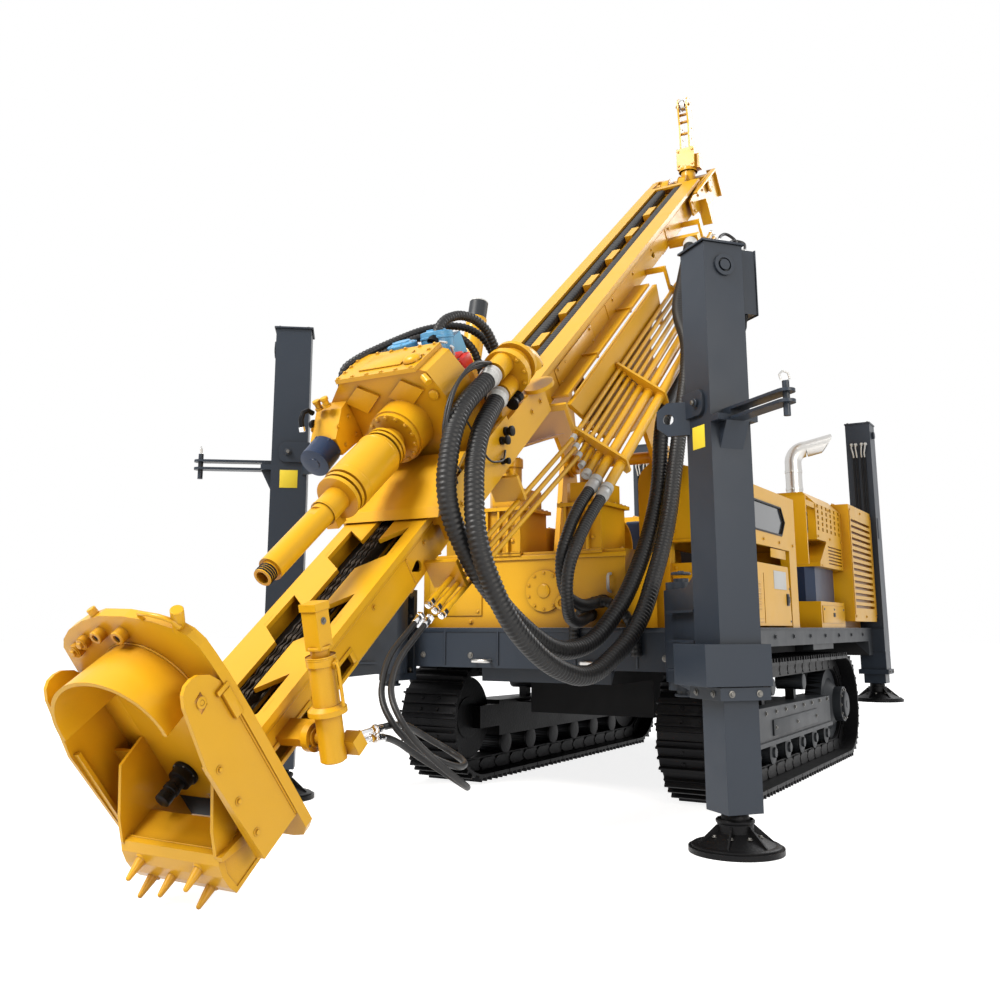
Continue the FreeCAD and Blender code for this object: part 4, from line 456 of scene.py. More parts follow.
chain = Piece(CHAIN, BOLT)
LINK_PITCH, LINK_N, LINK_U0 = 0.0635, 2.3535, -1.945
for k in range(40):
    u0 = LINK_U0 + k * LINK_PITCH
    u1 = u0 + LINK_PITCH
    wide = k % 2
    for xc in (-0.025, 0.0, 0.025):
        for s in (-1, 1):
            x = xc + s * (0.0112 if wide else 0.0078) - 0.0015
            chain.plate(plate_outline(x, u0, u1, LINK_N, 0.0225, 0.0165), (0.003, 0, 0))
        chain.lathe((xc - 0.006, u0, LINK_N), X_DIR, band(0.015, 0.0165, 0.001, 0.012), 14)
    chain.lathe((-0.0385, u0, LINK_N), X_DIR, band(0.0062, 0.0075, 0.002, 0.077), 10)
chain.done("feed_chain_links", "mast", MAST, stands_for=("feed_chain",), slot="black")
bed = Piece(CHAIN)
bed.block((-0.0475, -1.955, 2.3281), (0.0475, 0.612, 2.33), 0.0005)
bed.done("feed_chain_bed", "mast", MAST)
# Painted shade: a near-black sheet at the bottom of the slot, under the chain
inside = Piece(SHADE_BLACK)
inside.block((-0.18, -1.97, 2.296), (0.18, 0.6, 2.3), 0.0005)
inside.done("mast_slot_painted_shade", "mast", MAST)

# Ribbed hoses in the slot of the upper half
BAND_STEP = 0.0085
bands = Piece(RUBBER)
for xc in (-0.092, 0.06):
    outline = []
    for k in range(20):
        a = 2 * math.pi * k / 20
        c, s = math.cos(a), math.sin(a)
        outline.append((abs(c) ** 0.6 * math.copysign(0.0385, c), abs(s) ** 0.6 * math.copysign(0.0255, s)))
    rings = []
    for k in range(int((4.325 - 0.64) / BAND_STEP) + 1):
        f = (0.93, 1.0, 1.0, 0.93)[k % 4]
        u = 0.641 + k * BAND_STEP
        rings.append([(xc + a * f, u, 2.3552 + b * f) for a, b in outline])
    bands.rings(rings)
bands.done("slot_hoses", "mast", MAST, stands_for=("hose_bands",), slot="rubber", angle=70)


# Axes that several pieces share
SPINDLE_N = 2.665
LIFT_X, LIFT_Y = 0.265, -0.4
BREAK_X, BREAK_U, BREAK_N = 0.42, -1.85, 2.26
SWING_X, SWING_Y = 0.925, -0.715
CLEANER_X, CLEANER_Z = 0.775, 1.7463

# Parts of two colours, and painted shade under the deck and on the inner sides of the tracks
repaint("head_motors", NAVY, lambda p, n: p.x < -0.27)
repaint("chassis", DARK, lambda p, n: p.y < -0.54 and p.z > 0.6)
# Painted shade: the chassis faces under the deck are near-black
repaint("chassis", SHADE_BLACK, lambda p, n: abs(p.x) < 0.9 and p.y > -0.54 and p.z < 0.93)
# Painted shade: the inner faces of the track frames and wheels are black, the outer ones grey
for name in ("track_frame_right", "track_frame_left", "track_wheels_right", "track_wheels_left"):
    repaint(name, BLACK, lambda p, n: abs(p.x) < 0.86)
for name in ("side_boxes", "left_tank", "radiator"):
    repaint(name, NAVY, lambda p, n: 0.5 < p.x < 1.0 and 1.6 < p.y < 2.5 and 1.141 < p.z < 1.396)
for side in ("right", "left"):
    repaint("front_inner_leg_" + side, BLACK, lambda p, n: p.z < 0.2)
    repaint("rear_inner_leg_" + side, BLACK, lambda p, n: p.z < 0.53)

# Foot box
FACE = -2.0703
foot = Piece(YELLOW, SHADE_BLACK, BOLT)
foot.bolts([(x, FACE - 0.0235, n) for x, n in ((-0.262, 2.85), (-0.2, 2.885))], FRONT, 0.0135)
for x, n, r in ((-0.095, 2.918, 0.024), (0.012, 2.916, 0.026)):
    foot.lathe((x, FACE - 0.023, n), FRONT,
               disc(r * 1.02, 0.006, 0.009, r * 0.92) + [(0.009, r * 0.55), (0.002, r * 0.5)], 24)
    # Painted shade: a near-black disc at the bottom of the port
    foot.use(1).lathe((x, FACE - 0.0242, n), FRONT, [(0, r * 0.48), (0.0016, r * 0.48)], 20)
    foot.use(0)
foot.rod((0.258, -2.05, 2.915), (0.3, -2.05, 2.995), 0.022, 24)
foot.pipe([(0.14, -2.064, 2.966), (0.142, -2.072, 2.99), (0.152, -2.076, 3.001), (0.2, -2.08, 3.0),
           (0.258, -2.078, 2.984), (0.285, -2.072, 2.962), (0.29, -2.066, 2.935)], 0.0075, 10)
foot.rod((-0.105, -2.05, 2.97), (-0.112, -2.05, 3.004), 0.016, 20)
foot.lathe((0.3445, -2.172, 2.722), X_DIR, disc(0.02, 0.004, 0.006, 0.017) + [(0.006, 0.01), (0.001, 0.009)], 20)
foot.rod((0.33, -2.172, 2.722), (0.35, -2.172, 2.722), 0.009, 16)
foot.block((0.3442, -2.098, 2.585), (0.36, -2.06, 2.69), 0.003)
foot.block((0.3442, -2.112, 2.69), (0.356, -2.056, 2.708), 0.002)
for x in (-0.2325, 0.2385):
    foot.weld((x, FACE - 0.002, 2.06), (x, FACE - 0.002, 2.43), 0.004)
for x in (-0.345, 0.345):
    foot.weld((x, FACE - 0.001, 2.13), (x, FACE - 0.001, 2.7), 0.0042)
foot.pipe(around((0, FACE - 0.002, SPINDLE_N), X_DIR, N_AXIS, 0.2085, [2 + 2.2 * k for k in range(81)]),
          lambda k: 0.0042 + 0.0008 * (k % 2), 6)
foot.weld((-0.22, -2.309, 2.206), (0.225, -2.309, 2.206), 0.003)
for n in (2.22, 2.36, 2.5):
    foot.bolt((0.344, -2.235, n), X_DIR, 0.009)
    foot.bolt((-0.344, -2.235, n), LEFT, 0.009)
for x, n in ((-0.15, 2.148), (-0.15, 2.062), (-0.03, 2.09), (0.132, 2.148), (0.14, 2.066)):
    foot.lathe((x, -2.338, n), (-0.05, -0.98, -0.15), [(0, 0.0275), (0.01, 0.027), (0.016, 0.0225)], 20)
foot.block((-0.33, -2.0703, 2.14), (-0.22, -2.06, 2.7), 0.002)
# Painted shade: a near-black strip on the plate below the nozzle
foot.use(1).block((-0.215, -2.0718, 2.05), (0.22, -2.07, 2.146), 0.0005)
foot.done("foot_trim", "mast", MAST)

nozzle = Piece(BLACK, BOLT)
nozzle.lathe((-0.1, FACE - 0.0005, 2.275), FRONT,
             disc(0.052, 0.012, 0.014, 0.0445) + [(0.043, 0.044), (0.046, 0.028), (0.072, 0.0275), (0.075, 0.031),
                                                  (0.092, 0.031), (0.095, 0.027), (0.108, 0.0268), (0.11, 0.029),
                                                  (0.136, 0.0288), (0.139, 0.024)], 24)
nozzle.use(1)
nozzle.circle((-0.1, FACE - 0.012, 2.275), FRONT, 0.0475, evenly(6), 0.0042, washer=False)
nozzle.done("foot_nozzle_sleeve", "mast", MAST)

wheel = Piece(CHAIN, BOLT)
wheel.lathe((-0.03, -1.972, 2.322), X_DIR, band(0.04, 0.06, 0.004, 0.06), 32)
wheel.use(1).lathe((-0.04, -1.972, 2.322), X_DIR, band(0.014, 0.018, 0.003, 0.08), 16)
wheel.done("feed_chain_wheel", "mast", MAST)

# Mast
trim = Piece(YELLOW, BOLT, SHADE_BLACK)
for s in (-1, 1):
    for u in (-0.86, 0.08, 1.92, 3.36):
        trim.weld((s * 0.2005, u, 2.195), (s * 0.2005, u, 2.318), 0.0045)
        trim.weld((s * 0.1995, u, 2.187), (s * 0.152, u, 2.141), 0.0045)
    trim.bolts([(s * 0.2, -1.62 + k * 0.46, 2.296) for k in range(13)], (s, 0, 0), 0.0085)
    for u0, u1 in ((-1.95, -1.7), (-1.64, -1.4)):
        x0, x1 = outward(s, 0.2, 0.206)
        trim.block((x0, u0 - 0.024, 2.25), (x1, u1 + 0.024, 2.268), 0.002)
        trim.block((x0, u0 - 0.024, 2.184), (x1, u1 + 0.024, 2.2), 0.002)
        trim.block((x0, u0 - 0.024, 2.2), (x1, u0, 2.25), 0.002)
        trim.block((x0, u1, 2.2), (x1, u1 + 0.024, 2.25), 0.002)
    x0, x1 = outward(s, 0.2, 0.205)
    trim.block((x0, 0.98, 2.2), (x1, 1.62, 2.318), 0.003)
    trim.bolts([(s * 0.205, u, n) for u in (1.02, 1.58) for n in (2.215, 2.303)], (s, 0, 0), 0.008)
for u in [-1.9 + 0.48 * k for k in range(6)]:
    for x in (-0.185, 0.185):
        trim.weld((x, u + 0.03, 2.3905), (x, u + 0.1, 2.3905), 0.0002)
trim.done("mast_seams", "mast", MAST)

ears = Piece(YELLOW, BOLT)
PU = 0.55 * math.cos(TILT) + 2.08 * math.sin(TILT)
for s in (-1, 1):
    x = s * 0.336 * 0.999 + s * 0.0015
    ears.weld((x, PU - 0.88, 2.2), (x, PU + 0.72, 2.2), 0.004)
    x0, x1 = outward(s, 0.3362, 0.3462)
    ears.block((x0, PU - 0.62, 1.9), (x1, PU - 0.5, 1.96), 0.003)
ears.done("mast_ear_trim", "mast", MAST)

pins = Piece(YELLOW, BOLT, CHROME)
for s in (-1, 1):
    x = s * 0.3862
    pins.lathe((x, 0.55, 2.08), (s, 0, 0), disc(0.056, 0.01, 0.013, 0.05) + [(0.013, 0.018), (0.009, 0.016)], 28)
    pins.use(1)
    pins.circle((x + s * 0.012, 0.55, 2.08), (s, 0, 0), 0.036, evenly(4, 45), 0.0075, washer=False)
    pins.use(0)
    pins.weld((s * 0.379, 0.33, 1.272), (s * 0.379, 0.77, 1.272), 0.006)
    for y0 in (0.338, 0.762):
        x0, x1 = outward(s, 0.3785, 0.3865)
        pins.block((x0, y0 - 0.01, 1.275), (x1, y0 + 0.01, 1.3), 0.002)
pins.done("mast_hinge_caps", "base", SHIFT)

# Tower: ring plates, columns, round cover and handle
tower = Piece(YELLOW, BOLT, WHITE, SHADE_BLACK)
for s in (-1, 1):
    cx = s * LIFT_X
    tower.bolts([(cx + dx, y, 1.662) for dx in (-0.125, -0.045, 0.045, 0.125) for y in (-0.527, -0.188)], N_AXIS,
                0.0085)
    tower.bolts([(cx + dx, y, 1.662) for y in (-0.44, -0.35, -0.26) for dx in (-0.133, 0.133)], N_AXIS, 0.0085)
    tower.weld((cx - 0.122, -0.521, 1.3905), (cx + 0.122, -0.521, 1.3905), 0.005)
    tower.bolts([(cx + 0.07, -0.52, z) for z in (1.46, 1.56)], FRONT, 0.01)
tower.circle((0.01, -0.514, 1.16), FRONT, 0.104, evenly(10, 18), 0.007)
tower.lathe((0.01, -0.514, 1.16), FRONT, disc(0.04, 0.006, 0.009, 0.034) + [(0.009, 0.012)], 24)
tower.use(2).pipe([(0.43, -0.5005, 1.15), (0.43, -0.53, 1.155), (0.43, -0.54, 1.168), (0.43, -0.54, 1.232),
                   (0.43, -0.53, 1.245), (0.43, -0.5005, 1.25)], 0.0085, 10)
tower.use(0)
tower.lathe((0.14, -0.5395, 1.09), FRONT, disc(0.04, 0.01, 0.013, 0.034) + [(0.013, 0.02), (0.004, 0.018)], 20)
tower.rod((0.245, -0.498, 1.065), (0.245, -0.545, 1.065), 0.022, 20)
for x in (-0.82, -0.5, -0.18, 0.18, 0.49):
    tower.bolt((x, -0.5, 0.985), FRONT, 0.011)
    tower.bolt((x, -0.47, 1.39), N_AXIS, 0.009)
tower.block((-0.86, -0.512, 1.345), (0.53, -0.499, 1.372), 0.003)
tower.block((-0.8, -0.508, 1.02), (-0.42, -0.4995, 1.3), 0.004)
tower.bolts([(x, -0.508, z) for x in (-0.775, -0.445) for z in (1.045, 1.275)], FRONT, 0.007)
tower.done("tower_trim", "base", SHIFT)

# Lift cylinders
for side, s in (("right", 1), ("left", -1)):
    gland = Piece(YELLOW, BOLT)
    gland.lathe((s * LIFT_X, LIFT_Y, 1.9702), N_AXIS,
                disc(0.066, 0.006, 0.009, 0.06) + [(0.009, 0.04), (0.004, 0.0365)], 32, caps=False)
    gland.use(1)
    gland.circle((s * LIFT_X, LIFT_Y, 1.9785), N_AXIS, 0.052, evenly(8), 0.0055, washer=False)
    gland.use(0).rod((s * LIFT_X, -0.468, 1.9), (s * LIFT_X, -0.49, 1.9), 0.016, 16)
    gland.done("lift_gland_" + side, "lift_barrel_" + side, SHIFT)

# Breakout cylinder
BD = Vector((0, -1.713 - BREAK_U, 2.546 - BREAK_N)).normalized()
BP = Vector((BREAK_X, BREAK_U, BREAK_N))
pivot = Piece(YELLOW, BOLT)
pivot.lathe((0.3502, BREAK_U, BREAK_N), X_DIR, disc(0.036, 0.007, 0.009, 0.032) + [(0.009, 0.0228)], 24, caps=False)
pivot.use(1)
pivot.circle((0.35, BREAK_U, BREAK_N), X_DIR, 0.043, (60, 180, 300), 0.0045, washer=False)
pivot.done("breakout_pivot_ring", "mast", MAST)

barrel = Piece(YELLOW, CHROME, BOLT)
barrel.pipe([BP + BD * 0.27 + Vector((0.05, 0, 0)), BP + BD * 0.268 + Vector((0.07, 0, 0)),
             BP + BD * 0.255 + Vector((0.074, 0, 0)), BP + BD * 0.15 + Vector((0.076, 0, 0)),
             BP + BD * 0.12 + Vector((0.076, 0, 0))], 0.0062, 10)
barrel.block((0.46, -1.742, 2.48), (0.486, -1.716, 2.51), 0.003)
for t in (0.285, 0.2915):
    barrel.lathe(BP + BD * t, BD, [(0, 0.0545), (0.0025, 0.0555), (0.005, 0.0545)], 32, caps=False)
barrel.lathe(BP + BD * -0.0748, -BD, [(0, 0.044), (0.006, 0.04), (0.008, 0.02)], 28)
barrel.done("breakout_barrel_trim", "breakout_barrel", MAST)
stubs = Piece(CHROME)
for a, b in (((0.478, -2.8, 0.572), (0.5, -2.733, 0.587)), ((0.476, -2.8, 0.545), (0.498, -2.727, 0.558))):
    a, b = Vector(a), Vector(b)
    d = (b - a).normalized()
    stubs.lathe(a + d * 0.008, d, disc(0.0165, 0.014, 0.017, 0.0135), 6)
    stubs.lathe(a + d * 0.022, d, disc(0.0128, 0.044, 0.047, 0.0108), 20)
stubs.done("breakout_port_fittings", "breakout_barrel", SHIFT)
tip = Piece(YELLOW, BOLT)
tip.lathe(BP + BD * 0.3185, BD, [(0, 0.0405), (0.004, 0.042), (0.01, 0.042), (0.013, 0.0405)], 28)
tip.use(1).bolt(BP + BD * 0.419 + Vector((0.034, 0, 0)), X_DIR, 0.0085)
tip.done("breakout_head_trim", "breakout_rod", MAST)

# Rotary head
head = Piece(YELLOW, BOLT, SHADE_BLACK, RED, WHITE)
head.bolts([(x, u, 2.958) for x in [-0.276 + 0.0862 * k for k in range(6)] for u in (-0.234, 0.018)], N_AXIS, 0.0082)
head.bolts([(x, u, 2.958) for u in (-0.17, -0.107, -0.044) for x in (-0.276, 0.155)], N_AXIS, 0.0082)
head.block((-0.18, -0.185, 2.9578), (0.07, -0.03, 2.966), 0.004)
head.circle((0, -0.368, SPINDLE_N), FRONT, 0.1165, evenly(14, 8), 0.0088)
head.circle((0.335, 0.24, 2.655), FRONT, 0.11, (0, 35, 145, 180, 215, 325), 0.0095)
head.circle((0.335, 0.376, 2.655), U_AXIS, 0.106, evenly(8, 22), 0.008)
head.weld((-0.278, -0.2212, 2.531), (0.0, -0.2212, 2.455), 0.004)
head.lathe((0.215, -0.2202, 2.8), FRONT, disc(0.026, 0.01, 0.013, 0.021) + [(0.013, 0.01)], 20)
head.lathe((0.225, -0.2202, 2.62), FRONT, disc(0.014, 0.01, 0.013, 0.01), 16)
for x, n in ((-0.405, 2.842), (-0.352, 2.852)):
    head.lathe((x, -0.3, n), N_AXIS,
               disc(0.022, 0.01, 0.012, 0.016) + [(0.034, 0.016), (0.036, 0.02), (0.05, 0.02), (0.052, 0.012)], 16)
for u in (-0.36, -0.26):
    for n in (2.665, 2.765):
        head.bolt((-0.2895, u, n), X_DIR, 0.0075)
        head.bolt((-0.4502, u, n), LEFT, 0.0075)
# Lugs and a pressed dome on the right end of the lid
head.lathe((0.12, -0.15, 2.962), N_AXIS, [(0, 0.046), (0.01, 0.044), (0.02, 0.034), (0.026, 0.018), (0.028, 0.004)], 24)
head.rod((0.205, -0.235, 2.905), (0.24, -0.262, 2.88), 0.018, 18)
head.use(3).block((0.085, 0.045, 2.78), (0.245, 0.15, 2.842), 0.008)
head.block((0.11, 0.06, 2.842), (0.215, 0.135, 2.856), 0.005)
head.use(4)
head.pipe([(0.19, 0.09, 2.85), (0.192, 0.088, 2.895), (0.2, 0.075, 2.912), (0.24, 0.03, 2.918)], 0.0065, 10)
head.pipe([(0.15, 0.075, 2.856), (0.15, 0.07, 2.935), (0.16, 0.062, 2.948), (0.215, 0.03, 2.95)], 0.006, 10)
head.rod((0.135, 0.1, 2.856), (0.135, 0.1, 2.88), 0.014, 12)
head.use(1)
head.bolts([(x, u, 2.842) for x in (0.105, 0.225) for u in (0.058, 0.138)], N_AXIS, 0.006, washer=False)
head.done("head_bolts", "head", MAST)

motors = Piece(BLUE, BOLT, BLACK)
for base, d, r, h in (((-0.09, 0.08, 2.837), (0, 0.2, 1), 0.078, 0.12),
                      ((0.07, 0.13, 2.815), (0, 0.45, 1), 0.082, 0.15)):
    d = Vector(d).normalized()
    top = Vector(base) + d * h
    motors.lathe(top - d * 0.001, d, [(0, r - 0.004), (0.004, r - 0.006), (0.01, r * 0.62), (0.016, r * 0.6),
                                      (0.018, r * 0.3)], 28)
    motors.lathe(top - d * 0.035, d, [(0, r + 0.0005), (0.003, r + 0.004), (0.011, r + 0.004), (0.014, r + 0.0005)], 28,
                 caps=False)
    motors.use(1)
    side = d.cross(Vector(X_DIR)).normalized()
    motors.bolts(around(top, X_DIR, side, r * 0.8, evenly(6)), d, 0.0065)
    motors.use(0)
motors.done("head_motor_caps", "head", MAST)
feed = Piece(NAVY, BOLT)
fd = Vector((0, -1, -0.1)).normalized()
fs = Vector((-0.37, -0.4103, 2.68))
feed.lathe(fs + fd * 0.001, fd, disc(0.08, 0.014, 0.017, 0.077), 6)
feed.lathe(fs + fd * 0.1, fd, disc(0.077, 0.018, 0.021, 0.07) + [(0.0215, 0.03), (0.026, 0.028)], 28)
feed.use(1)
feed.bolts(around(fs + fd * 0.0165, X_DIR, N_AXIS, 0.07, evenly(6, 30)), fd, 0.006, washer=False)
feed.done("feed_motor_trim", "head", MAST)

dark_fit = Piece(BLACK, CHROME)
dark_fit.lathe((-0.452, -0.33, 2.78), LEFT, disc(0.024, 0.01, 0.012, 0.018) + [(0.022, 0.018)], 16)
dark_fit.pipe([(-0.43, -0.33, 2.84), (-0.434, -0.35, 2.868), (-0.44, -0.38, 2.872), (-0.444, -0.41, 2.85),
               (-0.446, -0.425, 2.815)], 0.013, 12)
dark_fit.use(1).lathe((-0.446, -0.4245, 2.818), (0, -0.35, -0.94), disc(0.015, 0.022, 0.025, 0.011), 12)
dark_fit.done("head_left_fitting", "head", MAST)

knobs = Piece(BLACK, CHROME, YELLOW, GREY, WHITE)
for u, n, r in ((0.106, 2.4, 0.024), (0.04, 2.385, 0.021), (-0.02, 2.3, 0.015)):
    knobs.lathe((0.3003, u, n), X_DIR,
                disc(r, 0.012, 0.014, r * 0.8) + [(0.03, r * 0.8), (0.032, r * 1.1), (0.044, r * 1.1),
                                                  (0.047, r * 0.7)], 20)
knobs.lathe((0.365, 0.2395, 2.525), FRONT, [(0, 0.03), (0.03, 0.026), (0.034, 0.014), (0.06, 0.014), (0.062, 0.03),
                                            (0.085, 0.036), (0.087, 0.03)], 24)
STUB = Vector((-0.1, 0.864, 2.7488))
knobs.use(3).lathe(STUB, (0, 0.8, 0.6), [(0.002, 0.0522), (0.003, 0.0532), (0.103, 0.0532), (0.104, 0.0522)], 32,
                   caps=False)
knobs.use(4).lathe(STUB, (0, 0.8, 0.6), [(0.104, 0.0532), (0.11, 0.053), (0.1115, 0.051), (0.1115, 0.04),
                                         (0.104, 0.0385)], 32, caps=False)
knobs.use(2)
for u in (-0.46, -0.3, 0.42, 0.54):
    knobs.bolt((0.292, u, 2.4305), N_AXIS, 0.01)
    knobs.bolt((0.3003, u, 2.34), X_DIR, 0.01)
    knobs.bolt((-0.3003, u, 2.34), LEFT, 0.01)
knobs.done("head_fittings", "head", MAST, slot="black")

CABLES = (
    ("cable_head_a", 0.01, ((0.325, 0.13, 2.765), (0.33, -0.08, 2.84), (0.318, -0.28, 2.79), (0.312, -0.41, 2.68),
                            (0.304, -0.42, 2.56), (0.285, -0.35, 2.432))),
    ("cable_head_b", 0.0085, ((0.345, 0.13, 2.77), (0.362, -0.04, 2.86), (0.348, -0.24, 2.83), (0.338, -0.4, 2.72),
                              (0.33, -0.45, 2.6), (0.296, -0.43, 2.434))),
    ("cable_head_c", 0.0055, ((0.276, -0.15, 2.64), (0.345, -0.215, 2.53), (0.35, -0.2, 2.4), (0.338, -0.06, 2.322),
                              (0.306, 0.035, 2.33))))
for name, thick, points in CABLES:
    piece, even, total = laid(name, "head", mast_mm(points), 0.01, thick, 10)

DECK_ARC = ((254, -626, 800), (262, -634, 980), (350, -640, 1085), (450, -640, 1100), (555, -636, 1050),
            (618, -632, 950), (628, -626, 800))
piece, even, total = laid("hose_deck_arc", "base", DECK_ARC, 0.006, ribbed(0.029, 0.0265), 16)

turning = Piece(YELLOW, BOLT, BLACK)
turning.circle((0, -0.446, SPINDLE_N), FRONT, 0.086, evenly(8), 0.0062)
turning.lathe((0, -0.508, SPINDLE_N), FRONT, band(0.1075, 0.11, 0.004, 0.014), 40, caps=False)
turning.lathe((0, -0.76, SPINDLE_N), FRONT, band(0.1078, 0.1092, 0.003, 0.011), 40, caps=False)
turning.circle((0, -0.839, SPINDLE_N), FRONT, 0.088, evenly(6, 20), 0.006, washer=False)
turning.lathe((0, -0.985, SPINDLE_N), FRONT, band(0.0595, 0.0615, 0.002, 0.008), 32, caps=False)
turning.use(2).lathe((0, -0.4625, SPINDLE_N), FRONT, band(0.0885, 0.0905, 0.003, 0.025), 40, caps=False)
for k in range(4):
    turning.lathe((0, -1.392 - 0.011 * k, SPINDLE_N), FRONT, band(0.0392, 0.0412, 0.003, 0.009), 28, caps=False)
turning.done("spindle_trim", "spindle", MAST)

# Hoses that arch over the head
ARCHES = (
    ("hose_arch_a", 0.0215, 0.019, (
        (-360, -1925, 2110), (-345, -1955, 2215), (-290, -1880, 2290), (-190, -1735, 2392), (-100, -1612, 2470),
        (-20, -1495, 2512), (50, -1415, 2512), (105, -1345, 2470), (140, -1290, 2380), (155, -1246, 2240),
        (160, -1232, 2165))),
    ("hose_arch_b", 0.0215, 0.019, (
        (-250, -1900, 2160), (-245, -1890, 2235), (-190, -1790, 2320), (-110, -1680, 2405), (-30, -1560, 2455),
        (40, -1460, 2450), (75, -1385, 2395), (88, -1330, 2280), (95, -1262, 2140))),
    ("hose_arch_c", 0.0255, 0.0228, (
        (90, -1790, 2330), (100, -1722, 2462), (122, -1600, 2520), (152, -1500, 2520), (172, -1410, 2478),
        (186, -1340, 2380), (196, -1270, 2260), (205, -1236, 2160))))
for name, big, small, points in ARCHES:
    piece, even, total = laid(name, "head", points, 0.005, ribbed(big, small), 14)
    cuffs = Piece(BLACK)
    for spot, ahead in ((even[0], even[6] - even[0]), (even[-1], even[-7] - even[-1])):
        d = ahead.normalized()
        cuffs.lathe(spot - d * 0.004, d, [(0, big * 0.9), (0.002, big * 1.15), (0.02, big * 1.15), (0.024, big * 1.05),
                                          (0.05, big * 1.04)], 16)
    ends = cuffs.done(name + "_cuffs", "head", slot="black")

# Pipe ends and clamps beside the mast
pipe_fit = Piece(WHITE, STEEL, YELLOW, BOLT)
for x, n, r, u0 in ((0.352, 2.035, 0.015, 0.64), (0.37, 1.998, 0.015, 0.6), (0.39, 1.962, 0.015, 0.56),
                    (0.412, 1.926, 0.015, 0.52), (0.444, 1.888, 0.022, 0.48), (0.492, 1.85, 0.03, 0.46),
                    (0.556, 1.812, 0.03, 0.43)):
    pipe_fit.use(0).lathe((x, u0 + 0.04, n), FRONT,
                          [(0, r * 1.02), (0.002, r * 1.22), (0.036, r * 1.22), (0.04, r * 1.05)], 18)
    pipe_fit.use(1).lathe((x, 3.948, n), U_AXIS, [(0, r * 1.04), (0.003, r * 1.25), (0.03, r * 1.25), (0.034, r * 0.8)],
                          12)
    pipe_fit.use(2)
    for u in (0.7, 1.5, 2.75, 3.75):
        pipe_fit.lathe((x, u - 0.008, n), U_AXIS,
                       [(0, r + 0.001), (0.001, r + 0.005), (0.037, r + 0.005), (0.038, r + 0.001)], 16)
pipe_fit.done("mast_pipe_ferrules", "mast", MAST)
for name, x0, n0, x1, n1 in (("hose_top_a", 0.492, 1.85, 0.39, 1.962), ("hose_top_b", 0.556, 1.812, 0.444, 1.888)):
    line = [(x0, 3.978, n0), (x0, 4.09, n0), (x0 - 0.02, 4.17, n0 + 0.02), (x1 + 0.02, 4.17, n1 - 0.02), (x1, 4.09, n1),
            (x1, 3.978, n1)]
    piece, even, total = laid(name, "mast", mast_mm(line), 0.008, 0.0125, 12)
low_ends = Piece(CHROME)
for x, n in ((0.308, 2.15), (0.33, 2.12), (0.352, 2.092)):
    low_ends.lathe((x, -0.93, n), (0, -1, 0.05), [(0, 0.0168), (0.002, 0.0195), (0.024, 0.0195), (0.026, 0.0165)], 6)
    low_ends.lathe((x, -0.955, n + 0.002), (0, -1, 0.05), disc(0.015, 0.018, 0.02, 0.012), 16)
low_ends.done("low_pipe_nuts", "mast", MAST)

# Crown and jib
crown = Piece(YELLOW, BOLT, SHADE_BLACK)
for s in (-1, 1):
    x = s * 0.2513
    crown.bolts([(x, u, n) for u, n in ((4.02, 2.3), (4.02, 2.23), (4.2, 2.3), (4.2, 2.22), (4.34, 2.3))], (s, 0, 0),
                0.01)
    crown.lathe((s * 0.2655, 4.52, 2.285), (s, 0, 0), disc(0.062, 0.008, 0.012, 0.054) + [(0.012, 0.02)], 28)
    crown.circle((s * 0.274, 4.52, 2.285), (s, 0, 0), 0.04, evenly(4, 45), 0.0065, washer=False)
for xc in (-0.092, 0.06):
    for x in (-0.0362, 0.0322):
        crown.lathe((xc + x, 4.52, 2.285), X_DIR, band(0.119, 0.124, 0.001, 0.004), 36)
crown.done("crown_trim", "mast", MAST)
jib = Piece(YELLOW, BOLT, STEEL)
jib.bolts([(x, 1.99, z) for z in (4.85, 4.98) for x in (0.0185, 0.1415)], FRONT, 0.008)
jib.lathe((0.08, 2.05, 4.8005), N_AXIS, disc(0.08, 0.008, 0.012, 0.074), 32)
for x in (0.02, 0.126):
    jib.bolt((x + (0.0005 if x > 0.08 else -0.0005), 2.0, 5.405), (1 if x > 0.08 else -1, 0, 0), 0.01)
jib.use(2).lathe((0.0615, 2.0, 5.4055), X_DIR,
                 [(0, 0.052), (0.003, 0.054), (0.006, 0.049), (0.031, 0.049), (0.034, 0.054), (0.037, 0.052)], 32)
jib.done("jib_trim", "jib", SHIFT)

# Legs
CORNERS = ((-0.085, -0.085), (0.085, -0.085), (0.085, 0.085), (-0.085, 0.085))
PAD_RING = disc(0.192, 0.008, 0.012, 0.186) + [(0.014, 0.15)]
GUSSET = ((0.06, 0.034), (0.168, 0.034), (0.168, 0.04), (0.084, 0.112), (0.06, 0.112))


def ribs(piece, x, y, z):
    """Gussets between the hub and the rim of a pad."""
    for t in evenly(6, 15):
        a = math.radians(t)
        out = Vector((math.cos(a), math.sin(a), 0))
        across = Vector((-math.sin(a), math.cos(a), 0)) * 0.004
        ring = [Vector((x, y, z)) + out * r + Vector((0, 0, h)) for r, h in GUSSET]
        piece.rings([[p - across for p in ring], [p + across for p in ring]])


